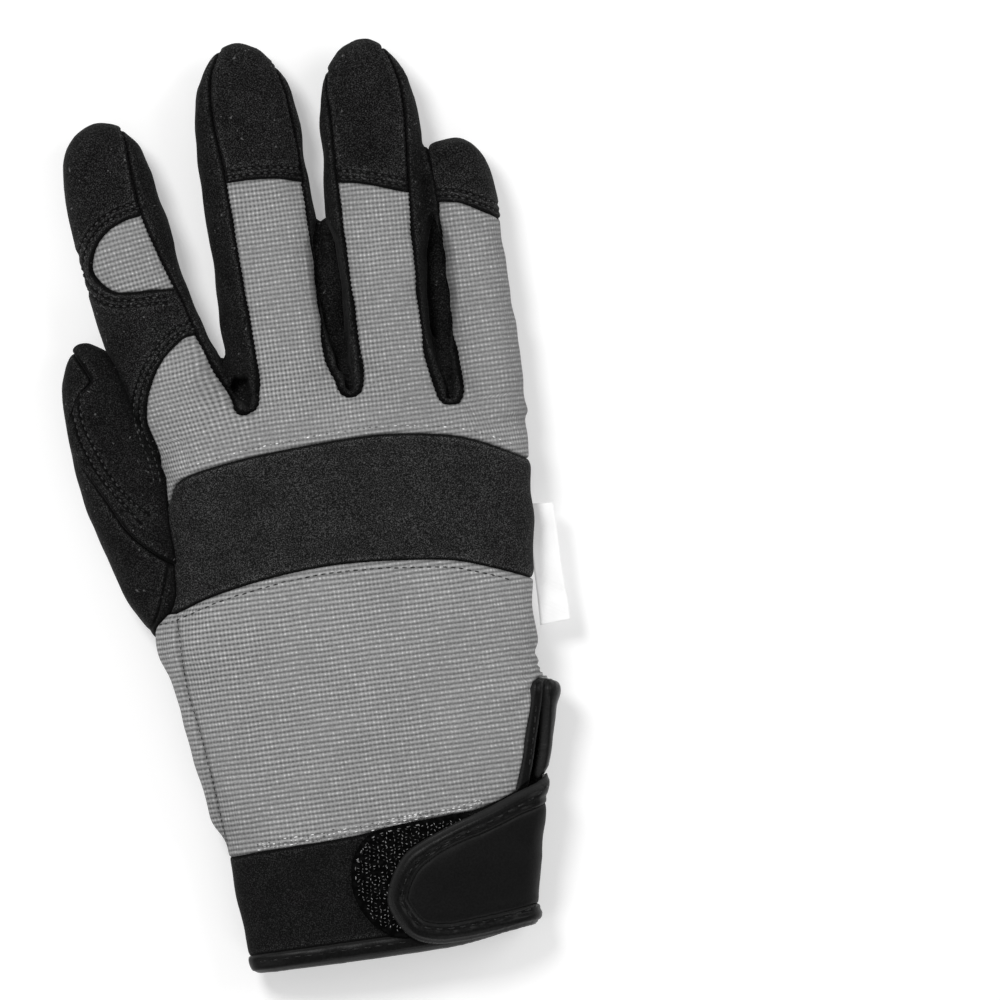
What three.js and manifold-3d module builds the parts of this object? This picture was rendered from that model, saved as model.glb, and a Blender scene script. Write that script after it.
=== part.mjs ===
// Winter work glove for the right hand, lying palm down with its strap closed.
// Millimetres: +X runs to the little finger, +Y from the cuff to the fingertips, +Z up from the palm.
// The hand's own axis is X = 0 and the edge of the cuff is Y = 0 until the whole glove is centred.
import * as THREE from 'three';
import { mergeVertices } from 'three/addons/utils/BufferGeometryUtils.js';
import Module from 'manifold-3d';

const wasm = await Module();
wasm.setup();

// Hand
const HAND_LENGTH = 155;
const HAND_WIDTH = 100;
const HAND_HEIGHT = 27;
const KNUCKLE_DROP = 12;
const CUFF_RISE = 5;
const WALL = 2.6;
const SEAM_GAP = 0.3;
const SIDE_SEAM_HEIGHT = 8.5;
const HAND_SQUARENESS = 2.6;
const FINGER_SQUARENESS = 2.2;
const UNDERSIDE_FLATTENING = 1.1;
const FINGER_AXIS_SHARE = 0.48;

// Fingers
const INDEX_LENGTH = 90;
const INDEX_WIDTH = 26.5;
const MIDDLE_LENGTH = 104.7;
const MIDDLE_WIDTH = 30;
const RING_LENGTH = 103;
const RING_WIDTH = 28.5;
const LITTLE_LENGTH = 76.5;
const LITTLE_WIDTH = 18.6;
const FINGER_HEIGHT = 20;
const CROTCH_WIDTH = 8;

// Thumb
const THUMB_LENGTH = 86.5;
const THUMB_WIDTH = 25;
const THUMB_HEIGHT = 19.5;
const THUMB_SEAM_HEIGHT = 6;
const THUMB_WEB = 122;

// Cuff, vent and strap
const CUFF_BINDING_WIDTH = 5.5;
const BINDING_PROUD = 0.6;
const VENT_BINDING_WIDTH = 2.8;
const VENT_SLIT_WIDTH = 2.4;
const VENT_TIP_WIDTH = 0.6;
const HOOK_PATCH_THICKNESS = 0.8;
const HOOK_PATCH_LENGTH = 40;
const HOOK_PATCH_WIDTH = 32;
const STRAP_THICKNESS = 3;
const STRAP_BINDING_WIDTH = 4.5;
const STRAP_BINDING_PROUD = 0.4;
const STRAP_LOW_EDGE = 3.5;

// Side label
const LABEL_LENGTH = 33;
const LABEL_WIDTH = 8.5;
const LABEL_THICKNESS = 0.6;

// Sampling and cutting
const HAND_SIDES = 24;
const FINGER_SIDES = 14;
const OVAL_STEPS = 24;
const CUT_REACH = 60;
const SHARPEST_CORNER = 0.8;
const NEAR_SHARE = 0.98;
const MOUTH_REACH = 8;

// Shares of the hand's length at which the knuckles start to drop and the cuff's edge stops rising,
// and shares of its half width between which the cuff's edge rises.
const DROP_START = 0.7;
const RISE_LENGTH = 0.2;
const RISE_FROM = 0.2;
const RISE_TO = 0.8;

// Shares that lie past the hand's sides, past a finger's sides and past its tip.
const PAST_HAND = 1.4;
const PAST_SIDE = 1.2;
const PAST_TIP = 1.2;

const HALF_WIDTH = HAND_WIDTH / 2;
const HALF_GAP = SEAM_GAP / 2;

// Sections of the hand from the cuff's edge to the knuckle end.
// along is a share of the hand's length, left and right of half its width, high of its height.
const HAND_SECTIONS = [
  { along: 0.00, left: -0.79, right: 0.73, high: 0.70 },
  { along: 0.05, left: -0.81, right: 0.74, high: 0.71 },
  { along: 0.13, left: -0.83, right: 0.78, high: 0.73 },
  { along: 0.21, left: -0.84, right: 0.85, high: 0.76 },
  { along: 0.27, left: -0.88, right: 0.91, high: 0.79 },
  { along: 0.33, left: -0.92, right: 0.98, high: 0.83 },
  { along: 0.39, left: -0.96, right: 1.03, high: 0.88 },
  { along: 0.43, left: -0.98, right: 1.05, high: 0.90 },
  { along: 0.47, left: -0.99, right: 0.97, high: 0.92 },
  { along: 0.53, left: -1.02, right: 0.98, high: 0.95 },
  { along: 0.59, left: -1.07, right: 0.99, high: 0.98 },
  { along: 0.63, left: -1.05, right: 1.01, high: 1.00 },
  { along: 0.66, left: -0.98, right: 1.02, high: 1.00 },
  { along: 0.70, left: -0.94, right: 1.04, high: 1.00 },
  { along: 0.80, left: -0.92, right: 1.06, high: 0.99 },
  { along: 0.88, left: -0.90, right: 1.08, high: 0.96 },
  { along: 0.93, left: -0.92, right: 1.08, high: 0.91 },
  { along: 0.97, left: -0.97, right: 1.08, high: 0.83 },
  { along: 1.00, left: -0.99, right: 1.08, high: 0.72 },
  { along: 1.02, left: -0.99, right: 1.08, high: 0.58 },
];

// Profiles of the fingers and of the thumb: high is a share of the height, the other columns say how far
// a side stands from the axis, as a share of half the width.
const FINGER_PROFILE = [
  { along: 0.000, high: 1.00, round: 1.00, square: 1.00, splayed: 1.25 },
  { along: 0.120, high: 1.00, round: 1.00, square: 1.00, splayed: 1.26 },
  { along: 0.300, high: 0.98, round: 1.00, square: 1.00, splayed: 1.13 },
  { along: 0.600, high: 0.94, round: 0.985, square: 1.00, splayed: 0.99 },
  { along: 0.760, high: 0.90, round: 0.96, square: 1.00, splayed: 0.96 },
  { along: 0.860, high: 0.84, round: 0.89, square: 0.99, splayed: 0.89 },
  { along: 0.910, high: 0.76, round: 0.79, square: 0.97, splayed: 0.79 },
  { along: 0.955, high: 0.60, round: 0.58, square: 0.92, splayed: 0.58 },
  { along: 0.984, high: 0.40, round: 0.36, square: 0.82, splayed: 0.36 },
  { along: 1.000, high: 0.14, round: 0.10, square: 0.40, splayed: 0.10 },
];
const THUMB_PROFILE = [
  { along: 0.00, high: 1.00, round: 0.64 },
  { along: 0.12, high: 1.02, round: 0.90 },
  { along: 0.25, high: 1.03, round: 1.03 },
  { along: 0.40, high: 1.02, round: 1.04 },
  { along: 0.60, high: 0.98, round: 1.00 },
  { along: 0.74, high: 0.93, round: 0.92 },
  { along: 0.84, high: 0.84, round: 0.79 },
  { along: 0.92, high: 0.68, round: 0.61 },
  { along: 0.97, high: 0.46, round: 0.40 },
  { along: 1.00, high: 0.16, round: 0.12 },
];

// Fingers and thumb: where each root lies on the hand (shares of half its width and of its length),
// its real size, and how far its axis leans right at the root and at the tip, in degrees.
const DIGITS = {
  index: {
    across: -0.712, along: 0.935, length: INDEX_LENGTH, width: INDEX_WIDTH, height: FINGER_HEIGHT,
    rootLean: -15, tipLean: -3, profile: FINGER_PROFILE, left: 'round', right: 'splayed',
  },
  middle: {
    across: -0.18, along: 0.935, length: MIDDLE_LENGTH, width: MIDDLE_WIDTH, height: FINGER_HEIGHT,
    rootLean: 0, tipLean: -1, profile: FINGER_PROFILE, left: 'round', right: 'round',
  },
  ring: {
    across: 0.424, along: 0.923, length: RING_LENGTH, width: RING_WIDTH, height: FINGER_HEIGHT,
    rootLean: 0, tipLean: 4, profile: FINGER_PROFILE, left: 'round', right: 'round',
  },
  little: {
    across: 0.916, along: 0.903, length: LITTLE_LENGTH, width: LITTLE_WIDTH, height: FINGER_HEIGHT,
    rootLean: 0, tipLean: 0, profile: FINGER_PROFILE, left: 'square', right: 'round',
  },
  thumb: {
    across: -0.84, along: 0.587, length: THUMB_LENGTH, width: THUMB_WIDTH, height: THUMB_HEIGHT,
    rootLean: -20.5, tipLean: -6, profile: THUMB_PROFILE, left: 'round', right: 'round',
  },
};

// Seams along the fingers, from root to tip: along as a share of the finger's length,
// across as a share of half its width.
const SEAMS = {
  indexRight: [
    { along: 0.20, across: 0.91 }, { along: 0.31, across: 0.83 }, { along: 0.42, across: 0.77 },
    { along: 0.56, across: 0.62 }, { along: 0.71, across: 0.48 }, { along: 0.86, across: 0.49 },
    { along: 0.94, across: 0.49 }, { along: 1.00, across: 0.42 }, { along: 1.10, across: 0.40 },
  ],
  middleLeft: [
    { along: 0.18, across: -0.43 }, { along: 0.43, across: -0.48 }, { along: 0.67, across: -0.51 },
    { along: 0.81, across: -0.57 }, { along: 0.91, across: -0.52 }, { along: 0.97, across: -0.34 },
    { along: 1.02, across: -0.14 }, { along: 1.08, across: -0.10 },
  ],
  middleRight: [
    { along: 0.18, across: 0.78 }, { along: 0.40, across: 0.81 }, { along: 0.65, across: 0.84 },
    { along: 0.78, across: 0.82 }, { along: 0.88, across: 0.75 }, { along: 0.95, across: 0.59 },
    { along: 1.01, across: 0.38 }, { along: 1.08, across: 0.30 },
  ],
  ringLeft: [
    { along: 0.18, across: -0.62 }, { along: 0.45, across: -0.66 }, { along: 0.63, across: -0.69 },
    { along: 0.80, across: -0.71 }, { along: 0.90, across: -0.73 }, { along: 0.96, across: -0.60 },
    { along: 1.02, across: -0.33 }, { along: 1.08, across: -0.25 },
  ],
  ringRight: [
    { along: 0.18, across: 0.58 }, { along: 0.46, across: 0.60 }, { along: 0.70, across: 0.65 },
    { along: 0.82, across: 0.67 }, { along: 0.90, across: 0.59 }, { along: 0.96, across: 0.42 },
    { along: 1.01, across: 0.22 }, { along: 1.08, across: 0.18 },
  ],
  littleLeft: [
    { along: 0.22, across: -0.79 }, { along: 0.33, across: -0.81 }, { along: 0.52, across: -0.82 },
    { along: 0.72, across: -0.75 }, { along: 0.85, across: -0.75 }, { along: 0.94, across: -0.80 },
    { along: 1.03, across: -0.84 }, { along: 1.10, across: -0.84 },
  ],
};

// Gussets between two fingers: where each turns round at the knuckles (shares of half the hand's width
// and of its length).
const GUSSETS = {
  index: { from: ['index', 'indexRight'], to: ['middle', 'middleLeft'], across: -0.40, along: 0.968 },
  middle: { from: ['middle', 'middleRight'], to: ['ring', 'ringLeft'], across: 0.17, along: 0.974 },
  ring: { from: ['ring', 'ringRight'], to: ['little', 'littleLeft'], across: 0.70, along: 0.935 },
};

// How a gusset's edge turns round there, in shares of half the crotch's width.
const GUSSET_TURN = [
  { side: -0.95, rise: 1.15 }, { side: -0.80, rise: 0.55 }, { side: -0.50, rise: 0.15 }, { side: 0, rise: 0 },
  { side: 0.50, rise: 0.15 }, { side: 0.80, rise: 0.55 }, { side: 0.95, rise: 1.15 },
];

// Lower edge of each fingertip cap, and the window in the index finger's patch.
const CAP_EDGES = {
  middle: [
    { along: 0.648, across: -1.2 }, { along: 0.648, across: -0.5 }, { along: 0.648, across: 0 },
    { along: 0.640, across: 0.42 }, { along: 0.624, across: 0.86 }, { along: 0.615, across: 1.2 },
  ],
  ring: [
    { along: 0.640, across: -1.2 }, { along: 0.634, across: -0.7 }, { along: 0.627, across: -0.32 },
    { along: 0.612, across: 0.1 }, { along: 0.591, across: 0.6 }, { along: 0.565, across: 1.2 },
  ],
  little: [
    { along: 0.787, across: -1.1 }, { along: 0.784, across: -0.75 }, { along: 0.771, across: -0.19 },
    { along: 0.739, across: 0.34 }, { along: 0.690, across: 1.0 }, { along: 0.675, across: 1.3 },
  ],
};
const WINDOW_EDGE = [
  { along: 0.715, across: 0.75 }, { along: 0.699, across: 0.48 }, { along: 0.696, across: 0.17 },
  { along: 0.68, across: -0.22 }, { along: 0.642, across: -0.56 }, { along: 0.586, across: -0.76 },
  { along: 0.541, across: -0.69 }, { along: 0.501, across: -0.47 }, { along: 0.485, across: -0.18 },
  { along: 0.47, across: 0.34 }, { along: 0.45, across: 0.88 },
];

// Edges across the back of the hand, from left to right: across as a share of half the hand's width,
// along as a share of its length.
const BAND_TOP = [
  { across: -1.30, along: 0.79 }, { across: -1.00, along: 0.80 }, { across: -0.90, along: 0.83 },
  { across: -0.85, along: 0.862 }, { across: -0.77, along: 0.877 }, { across: -0.60, along: 0.888 },
  { across: -0.35, along: 0.897 }, { across: 0.00, along: 0.903 }, { across: 0.30, along: 0.903 },
  { across: 0.60, along: 0.89 }, { across: 0.80, along: 0.871 }, { across: 1.07, along: 0.826 },
  { across: 1.30, along: 0.78 },
];
const BAND_BOTTOM = [
  { across: -1.30, along: 0.63 }, { across: -1.10, along: 0.637 }, { across: -0.93, along: 0.645 },
  { across: -0.70, along: 0.665 }, { across: -0.40, along: 0.681 }, { across: -0.10, along: 0.688 },
  { across: 0.16, along: 0.685 }, { across: 0.40, along: 0.677 }, { across: 0.60, along: 0.667 },
  { across: 0.80, along: 0.645 }, { across: 1.01, along: 0.616 }, { across: 1.30, along: 0.57 },
];
const CUFF_TOP = [
  { across: -1.30, along: 0.21 }, { across: -0.84, along: 0.21 }, { across: -0.60, along: 0.213 },
  { across: -0.20, along: 0.216 }, { across: 0.20, along: 0.226 }, { across: 0.50, along: 0.232 },
  { across: 0.64, along: 0.242 }, { across: 0.79, along: 0.26 }, { across: 1.30, along: 0.33 },
];

// Edge of the index patch from its finger seam down to the side of the hand.
const PATCH_EDGE = [
  { across: -0.52, along: 1.120 }, { across: -0.63, along: 1.119 }, { across: -0.70, along: 1.113 },
  { across: -0.80, along: 1.087 }, { across: -0.88, along: 1.052 }, { across: -0.93, along: 1.013 },
  { across: -0.94, along: 0.981 }, { across: -0.92, along: 0.948 }, { across: -0.89, along: 0.903 },
  { across: -0.90, along: 0.858 }, { across: -1.05, along: 0.82 },
];

// Upper end of that edge inside the index gusset, in shares of the finger.
const PATCH_CORNER = { along: 0.40, across: 0.85 };

// Upper seam of the thumb, from its tip to the hand, in shares of the thumb's length and half its width.
const THUMB_SEAM = [
  { along: 1.06, across: -0.25 }, { along: 0.98, across: -0.20 }, { along: 0.915, across: -0.05 },
  { along: 0.88, across: -0.02 }, { along: 0.84, across: -0.40 }, { along: 0.75, across: -0.76 },
  { along: 0.65, across: -0.73 }, { along: 0.52, across: -0.50 }, { along: 0.40, across: -0.30 },
  { along: 0.29, across: 0.12 }, { along: 0.23, across: 0.60 }, { along: 0.19, across: 1.60 },
];

// Middle of the vent's slit, from its tip down to the cuff's edge.
const VENT_MIDDLE = [
  { across: 0.985, along: 0.435 }, { across: 0.965, along: 0.40 }, { across: 0.94, along: 0.365 },
  { across: 0.90, along: 0.315 }, { across: 0.85, along: 0.265 }, { across: 0.78, along: 0.20 },
  { across: 0.72, along: 0.12 }, { across: 0.69, along: 0.05 }, { across: 0.67, along: -0.05 },
];

// Strap outline from its sewn end round its free end and back.
const STRAP_EDGE = [
  { across: 1.40, along: 0.36 }, { across: 0.92, along: 0.277 }, { across: 0.82, along: 0.258 },
  { across: 0.56, along: 0.226 }, { across: 0.40, along: 0.210 }, { across: 0.24, along: 0.190 },
  { across: 0.12, along: 0.168 }, { across: 0.04, along: 0.135 }, { across: 0.00, along: 0.097 },
  { across: 0.03, along: 0.065 }, { across: 0.09, along: 0.036 }, { across: 0.18, along: 0.021 },
  { across: 0.30, along: 0.016 }, { across: 0.50, along: 0.019 }, { across: 0.70, along: 0.026 },
  { across: 0.82, along: 0.037 }, { across: 1.00, along: 0.055 }, { across: 1.40, along: 0.08 },
];
const HOOK_PATCH_CENTRE = { across: 0.20, along: 0.13 };
const LABEL_CENTRE = { across: 1.09, along: 0.64 };

// Solids from geometry

function solid(geometry) {
  geometry.deleteAttribute('normal');
  geometry.deleteAttribute('uv');
  const merged = mergeVertices(geometry, 1e-5);
  return new wasm.Manifold(new wasm.Mesh({
    numProp: 3,
    vertProperties: merged.attributes.position.array,
    triVerts: new Uint32Array(merged.index.array),
  }));
}

function block(low, high) {
  const size = high.clone().sub(low);
  const geometry = new THREE.BoxGeometry(size.x, size.y, size.z);
  const middle = low.clone().add(high).multiplyScalar(0.5);
  return solid(geometry.translate(middle.x, middle.y, middle.z));
}

function layerOfSpace({ yLow = -CUT_REACH, zLow = -CUT_REACH, zHigh = CUT_REACH }) {
  return block(
    new THREE.Vector3(-HAND_WIDTH * 2, yLow, zLow),
    new THREE.Vector3(HAND_WIDTH * 2, HAND_LENGTH * 2, zHigh),
  );
}

// Joins rings of equally many points into one closed skin. Each end is closed by strips that run from
// the upper half of its ring to the lower half.
function loft(rings) {
  const sides = rings[0].length;
  const points = rings.flat();
  const faces = [];
  for (let row = 0; row + 1 < rings.length; row += 1) {
    for (let i = 0; i < sides; i += 1) {
      const a = row * sides + i;
      const b = row * sides + ((i + 1) % sides);
      faces.push(a, b + sides, b, a, a + sides, b + sides);
    }
  }
  const last = (rings.length - 1) * sides;
  for (let i = 0; i + 1 < sides / 2; i += 1) {
    const [a, b, c, d] = [i, i + 1, sides - 2 - i, sides - 1 - i];
    faces.push(a, b, c, a, c, d);
    faces.push(last + a, last + c, last + b, last + a, last + d, last + c);
  }
  const geometry = new THREE.BufferGeometry().setFromPoints(points);
  geometry.setIndex(faces);
  return solid(geometry);
}

// Flattened oval round the middle height: shares of the half width across and of the half height up.
function oval(sides, squareness) {
  const power = (value) => Math.sign(value) * Math.abs(value) ** (2 / squareness);
  return Array.from({ length: sides }, (_, i) => {
    const turn = (2 * Math.PI * (i + 0.5)) / sides;
    return { across: power(Math.cos(turn)), up: power(Math.sin(turn)) };
  });
}

// How far the edge of the cuff rises towards the little finger's side.
function cuffRise(x) {
  return CUFF_RISE * THREE.MathUtils.clamp((x / HALF_WIDTH - RISE_FROM) / (RISE_TO - RISE_FROM), 0, 1) ** 2;
}

// The hand with its surface moved out by the given distance, or in where it is negative.
function hand({ out = 0, start = 0, floor = -out }) {
  const shape = oval(HAND_SIDES, HAND_SQUARENESS);
  return loft(HAND_SECTIONS.map((row, i) => {
    const left = row.left * HALF_WIDTH - out;
    const right = row.right * HALF_WIDTH + out;
    const middle = (row.high * HAND_HEIGHT) / 2;
    const y = i === 0 ? start : row.along * (HAND_LENGTH + out);
    const dropShare = Math.max(0, row.along - DROP_START) / (1 - DROP_START);
    const riseShare = Math.max(0, 1 - row.along / RISE_LENGTH);
    return shape.map(({ across, up }) => {
      const x = (left + right) / 2 + (across * (right - left)) / 2;
      const drop = dropShare * KNUCKLE_DROP * Math.max(0, x / HALF_WIDTH) ** 2;
      const rise = riseShare * cuffRise(x);
      const z = middle + up * (middle + out) * (up < 0 ? UNDERSIDE_FLATTENING : 1);
      return new THREE.Vector3(x, y + rise - drop, Math.max(floor, z));
    });
  }));
}

// A place in plan on a digit: along its axis as a share of its length, across as a share of half its width.
function onDigit(name, along, across, grow = 0) {
  const digit = DIGITS[name];
  const rootLean = THREE.MathUtils.degToRad(digit.rootLean);
  const bend = THREE.MathUtils.degToRad(digit.tipLean - digit.rootLean);
  const halfBend = (bend * along) / 2;
  const chord = (digit.length + grow) * along * (halfBend === 0 ? 1 : Math.sin(halfBend) / halfBend);
  const lean = rootLean + bend * along;
  const side = across * (digit.width / 2 + grow);
  return new THREE.Vector2(
    digit.across * HALF_WIDTH + chord * Math.sin(rootLean + halfBend) + side * Math.cos(lean),
    digit.along * HAND_LENGTH + chord * Math.cos(rootLean + halfBend) - side * Math.sin(lean),
  );
}

function digit(name, { out = 0, floor = -out }) {
  const { height, profile, left, right } = DIGITS[name];
  const shape = oval(FINGER_SIDES, FINGER_SQUARENESS);
  const rings = profile.map((row) => shape.map(({ across, up }) => {
    const share = across < 0 ? row[left] : row[right];
    const plan = onDigit(name, row.along, across * share, out);
    const z = height * FINGER_AXIS_SHARE + up * (height * (1 - FINGER_AXIS_SHARE) + out) * row.high;
    return new THREE.Vector3(plan.x, plan.y, Math.max(floor, z));
  }));
  return loft(rings);
}

// Plan outlines and the cuts made with them

function onHand({ across, along }) {
  return new THREE.Vector2(across * HALF_WIDTH, along * HAND_LENGTH);
}

// A smooth line through the given points, with this many steps from each point to the next.
function smooth(points, steps = 1) {
  return new THREE.SplineCurve(points).getPoints((points.length - 1) * steps);
}

// Moves a closed outline outwards, or inwards where the distance is negative. Moved points that come
// nearer to the outline than the distance lie past a tight corner and are left out.
function grown(outline, distance) {
  const moved = outline.map((point, i) => {
    const before = outline[(i + outline.length - 1) % outline.length];
    const after = outline[(i + 1) % outline.length];
    const arriving = point.clone().sub(before).normalize();
    const leaving = after.clone().sub(point).normalize();
    const normal = new THREE.Vector2(arriving.y + leaving.y, -arriving.x - leaving.x);
    const stretch = 2 / Math.max(normal.lengthSq(), SHARPEST_CORNER);
    return point.clone().addScaledVector(normal, distance * stretch);
  });
  const near = Math.abs(distance) * NEAR_SHARE;
  return moved.filter((point) => outline.every((other) => point.distanceTo(other) >= near));
}

function prism(outline, { low = -CUT_REACH, high = CUT_REACH, grow = 0 } = {}) {
  const turned = THREE.ShapeUtils.isClockWise(outline) ? [...outline].reverse() : outline;
  const shape = new THREE.Shape(grown(turned, grow));
  const geometry = new THREE.ExtrudeGeometry(shape, { depth: high - low, bevelEnabled: false });
  return solid(geometry.translate(0, 0, low));
}

// Cuts the part of a shell inside a plan outline from the rest, with the seam's gap between them.
function take(shell, outline, low = -CUT_REACH) {
  return {
    piece: shell.intersect(prism(outline, { low: low + HALF_GAP, grow: -HALF_GAP })),
    rest: shell.subtract(prism(outline, { low: low - HALF_GAP, grow: HALF_GAP })),
  };
}

// A line moved sideways: by the first distance at its start, by the second from a third of its length on.
// Positive distances lie to the left of the way from start to end.
function beside(line, startDistance, distance) {
  return line.map((point, i) => {
    const before = line[Math.max(i - 1, 0)];
    const after = line[Math.min(i + 1, line.length - 1)];
    const along = after.clone().sub(before).normalize();
    const reach = THREE.MathUtils.lerp(startDistance, distance, Math.min(1, (3 * i) / (line.length - 1)));
    return new THREE.Vector2(point.x - along.y * reach, point.y + along.x * reach);
  });
}

function seam(digitName, rows) {
  return rows.map(({ along, across }) => onDigit(digitName, along, across));
}

function gussetOutline({ from, to, across, along }) {
  const down = seam(from[0], SEAMS[from[1]]).reverse();
  const up = seam(to[0], SEAMS[to[1]]);
  const turn = onHand({ across, along });
  const reach = CROTCH_WIDTH / 2;
  const bend = GUSSET_TURN.map(({ side, rise }) => (
    new THREE.Vector2(turn.x + side * reach, turn.y + rise * reach)
  ));
  const high = Math.max(down[0].y, up[up.length - 1].y) + CROTCH_WIDTH;
  return [
    new THREE.Vector2(down[0].x, high),
    ...smooth([...down, ...bend, ...up]),
    new THREE.Vector2(up[up.length - 1].x, high),
  ];
}

function edgeToEdge(edgeA, edgeB) {
  return [...edgeA.map(onHand), ...edgeB.map(onHand).reverse()];
}

function below(line) {
  const left = line[0].x;
  const right = line[line.length - 1].x;
  return [...line, new THREE.Vector2(right, -CUT_REACH), new THREE.Vector2(left, -CUT_REACH)];
}

function beyondCap(name) {
  return [
    ...seam(name, CAP_EDGES[name]),
    onDigit(name, PAST_TIP, PAST_SIDE),
    onDigit(name, PAST_TIP, -PAST_SIDE),
  ];
}

function patchOutline() {
  return [
    ...PATCH_EDGE.map(onHand),
    onHand({ across: -PAST_HAND, along: PATCH_EDGE[PATCH_EDGE.length - 1].along }),
    onDigit('index', PAST_TIP, -PAST_SIDE * 2),
    onDigit('index', PAST_TIP, PAST_SIDE),
    onDigit('index', PATCH_CORNER.along, PATCH_CORNER.across),
  ];
}

function thumbOutline() {
  return [
    ...smooth(seam('thumb', THUMB_SEAM)),
    onDigit('thumb', THUMB_SEAM[THUMB_SEAM.length - 1].along, PAST_SIDE * 2),
    onDigit('thumb', PAST_TIP, PAST_SIDE * 2),
  ];
}

function ellipse(centre, length, width) {
  const curve = new THREE.EllipseCurve(centre.x, centre.y, length / 2, width / 2, 0, Math.PI * 2);
  return curve.getPoints(OVAL_STEPS).slice(0, OVAL_STEPS);
}

// Shells

const handOuter = hand({});
const handInner = hand({ out: -WALL, start: -MOUTH_REACH });
const fingerNames = ['index', 'middle', 'ring', 'little'];
const unite = (parts) => parts.reduce((sum, part) => sum.add(part));
const gloveOuter = unite([handOuter, ...fingerNames.map((name) => digit(name, { floor: 0 }))]);
const gloveInner = unite([handInner, ...fingerNames.map((name) => digit(name, { out: -WALL }))]);

// The space of the hand and the index finger, widened, which the thumb keeps out of. The finger's second
// place, further down, keeps its root end clear too.
function aroundHand(distance) {
  const index = digit('index', { out: distance });
  return unite([hand({ out: distance, start: -MOUTH_REACH }), index, index.translate([0, -distance, 0])]);
}
const thumbCavity = digit('thumb', { out: -WALL })
  .subtract(aroundHand(WALL + SEAM_GAP).intersect(layerOfSpace({ yLow: THUMB_WEB })));
const thumbShell = digit('thumb', { floor: 0 }).subtract(aroundHand(SEAM_GAP)).subtract(thumbCavity);
const gloveShell = gloveOuter.subtract(gloveInner).subtract(thumbCavity);

// Panels

const ventMiddle = VENT_MIDDLE.map(onHand);
const slit = prism(
  [...beside(ventMiddle, VENT_TIP_WIDTH / 2, VENT_SLIT_WIDTH / 2),
    ...beside(ventMiddle, -VENT_TIP_WIDTH / 2, -VENT_SLIT_WIDTH / 2).reverse()],
  { low: SIDE_SEAM_HEIGHT },
);
const cuffCut = take(gloveShell, below(CUFF_TOP.map(onHand)));
const cuffEdge = BAND_TOP.map(({ across }) => {
  const x = across * HALF_WIDTH;
  return new THREE.Vector2(x, cuffRise(x) + CUFF_BINDING_WIDTH);
});
const cuffBackOutline = [
  ...ventMiddle,
  new THREE.Vector2(-HAND_WIDTH, -CUT_REACH),
  new THREE.Vector2(-HAND_WIDTH, ventMiddle[0].y),
];
const cuffWall = cuffCut.piece.subtract(prism(below(cuffEdge), { grow: SEAM_GAP })).subtract(slit);
const cuffParts = take(cuffWall, cuffBackOutline, SIDE_SEAM_HEIGHT);

const palmPanel = cuffCut.rest.intersect(layerOfSpace({ zHigh: SIDE_SEAM_HEIGHT - HALF_GAP }));
let backShell = cuffCut.rest.intersect(layerOfSpace({ zLow: SIDE_SEAM_HEIGHT + HALF_GAP }));

const pieces = {};
function cutFromBack(name, outline) {
  const { piece, rest } = take(backShell, outline);
  pieces[name] = piece;
  backShell = rest;
}
const ventTop = ventMiddle[0].clone().add(new THREE.Vector2(0, VENT_BINDING_WIDTH));
const ventOutline = [
  ventTop,
  ...beside(ventMiddle, -VENT_TIP_WIDTH / 2 - VENT_BINDING_WIDTH, -VENT_SLIT_WIDTH / 2 - VENT_BINDING_WIDTH),
  new THREE.Vector2(HAND_WIDTH, -MOUTH_REACH),
  new THREE.Vector2(HAND_WIDTH, ventTop.y),
];
cutFromBack('vent_binding', ventOutline);
pieces.vent_binding = pieces.vent_binding.subtract(slit);
cutFromBack('fourchette_index', gussetOutline(GUSSETS.index));
cutFromBack('fourchette_middle', gussetOutline(GUSSETS.middle));
cutFromBack('fourchette_ring', gussetOutline(GUSSETS.ring));
cutFromBack('middle_tip', beyondCap('middle'));
cutFromBack('little_tip', beyondCap('little'));
cutFromBack('ring_tip', beyondCap('ring'));
cutFromBack('index_insert', smooth(seam('index', WINDOW_EDGE), 2));
cutFromBack('index_patch', patchOutline());
cutFromBack('knuckle_band', edgeToEdge(BAND_BOTTOM, BAND_TOP));
cutFromBack('wrist_panel', below(BAND_BOTTOM.map(onHand)));
pieces.back_panel = backShell;
pieces.palm_panel = palmPanel;
pieces.cuff_back = cuffParts.piece;
pieces.cuff_palm = cuffParts.rest;

const thumbParts = take(thumbShell, thumbOutline(), THUMB_SEAM_HEIGHT);
pieces.thumb_back = thumbParts.piece;
pieces.thumb_front = thumbParts.rest;

// Binding round the cuff's edge, a little thicker than the wall on both sides.
pieces.cuff_binding = hand({ out: BINDING_PROUD, floor: 0 })
  .subtract(hand({ out: -WALL - BINDING_PROUD, start: -MOUTH_REACH }))
  .intersect(prism(below(cuffEdge)))
  .subtract(slit);

// Hook patch and strap, which lie on the cuff.
const hookTop = SEAM_GAP + HOOK_PATCH_THICKNESS;
const hookOutline = ellipse(onHand(HOOK_PATCH_CENTRE), HOOK_PATCH_LENGTH, HOOK_PATCH_WIDTH);
const clearOfCuff = hand({ out: BINDING_PROUD + SEAM_GAP, start: -MOUTH_REACH });
pieces.hook_patch = hand({ out: BINDING_PROUD + hookTop })
  .subtract(clearOfCuff)
  .intersect(prism(hookOutline, { low: SIDE_SEAM_HEIGHT }));

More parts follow.
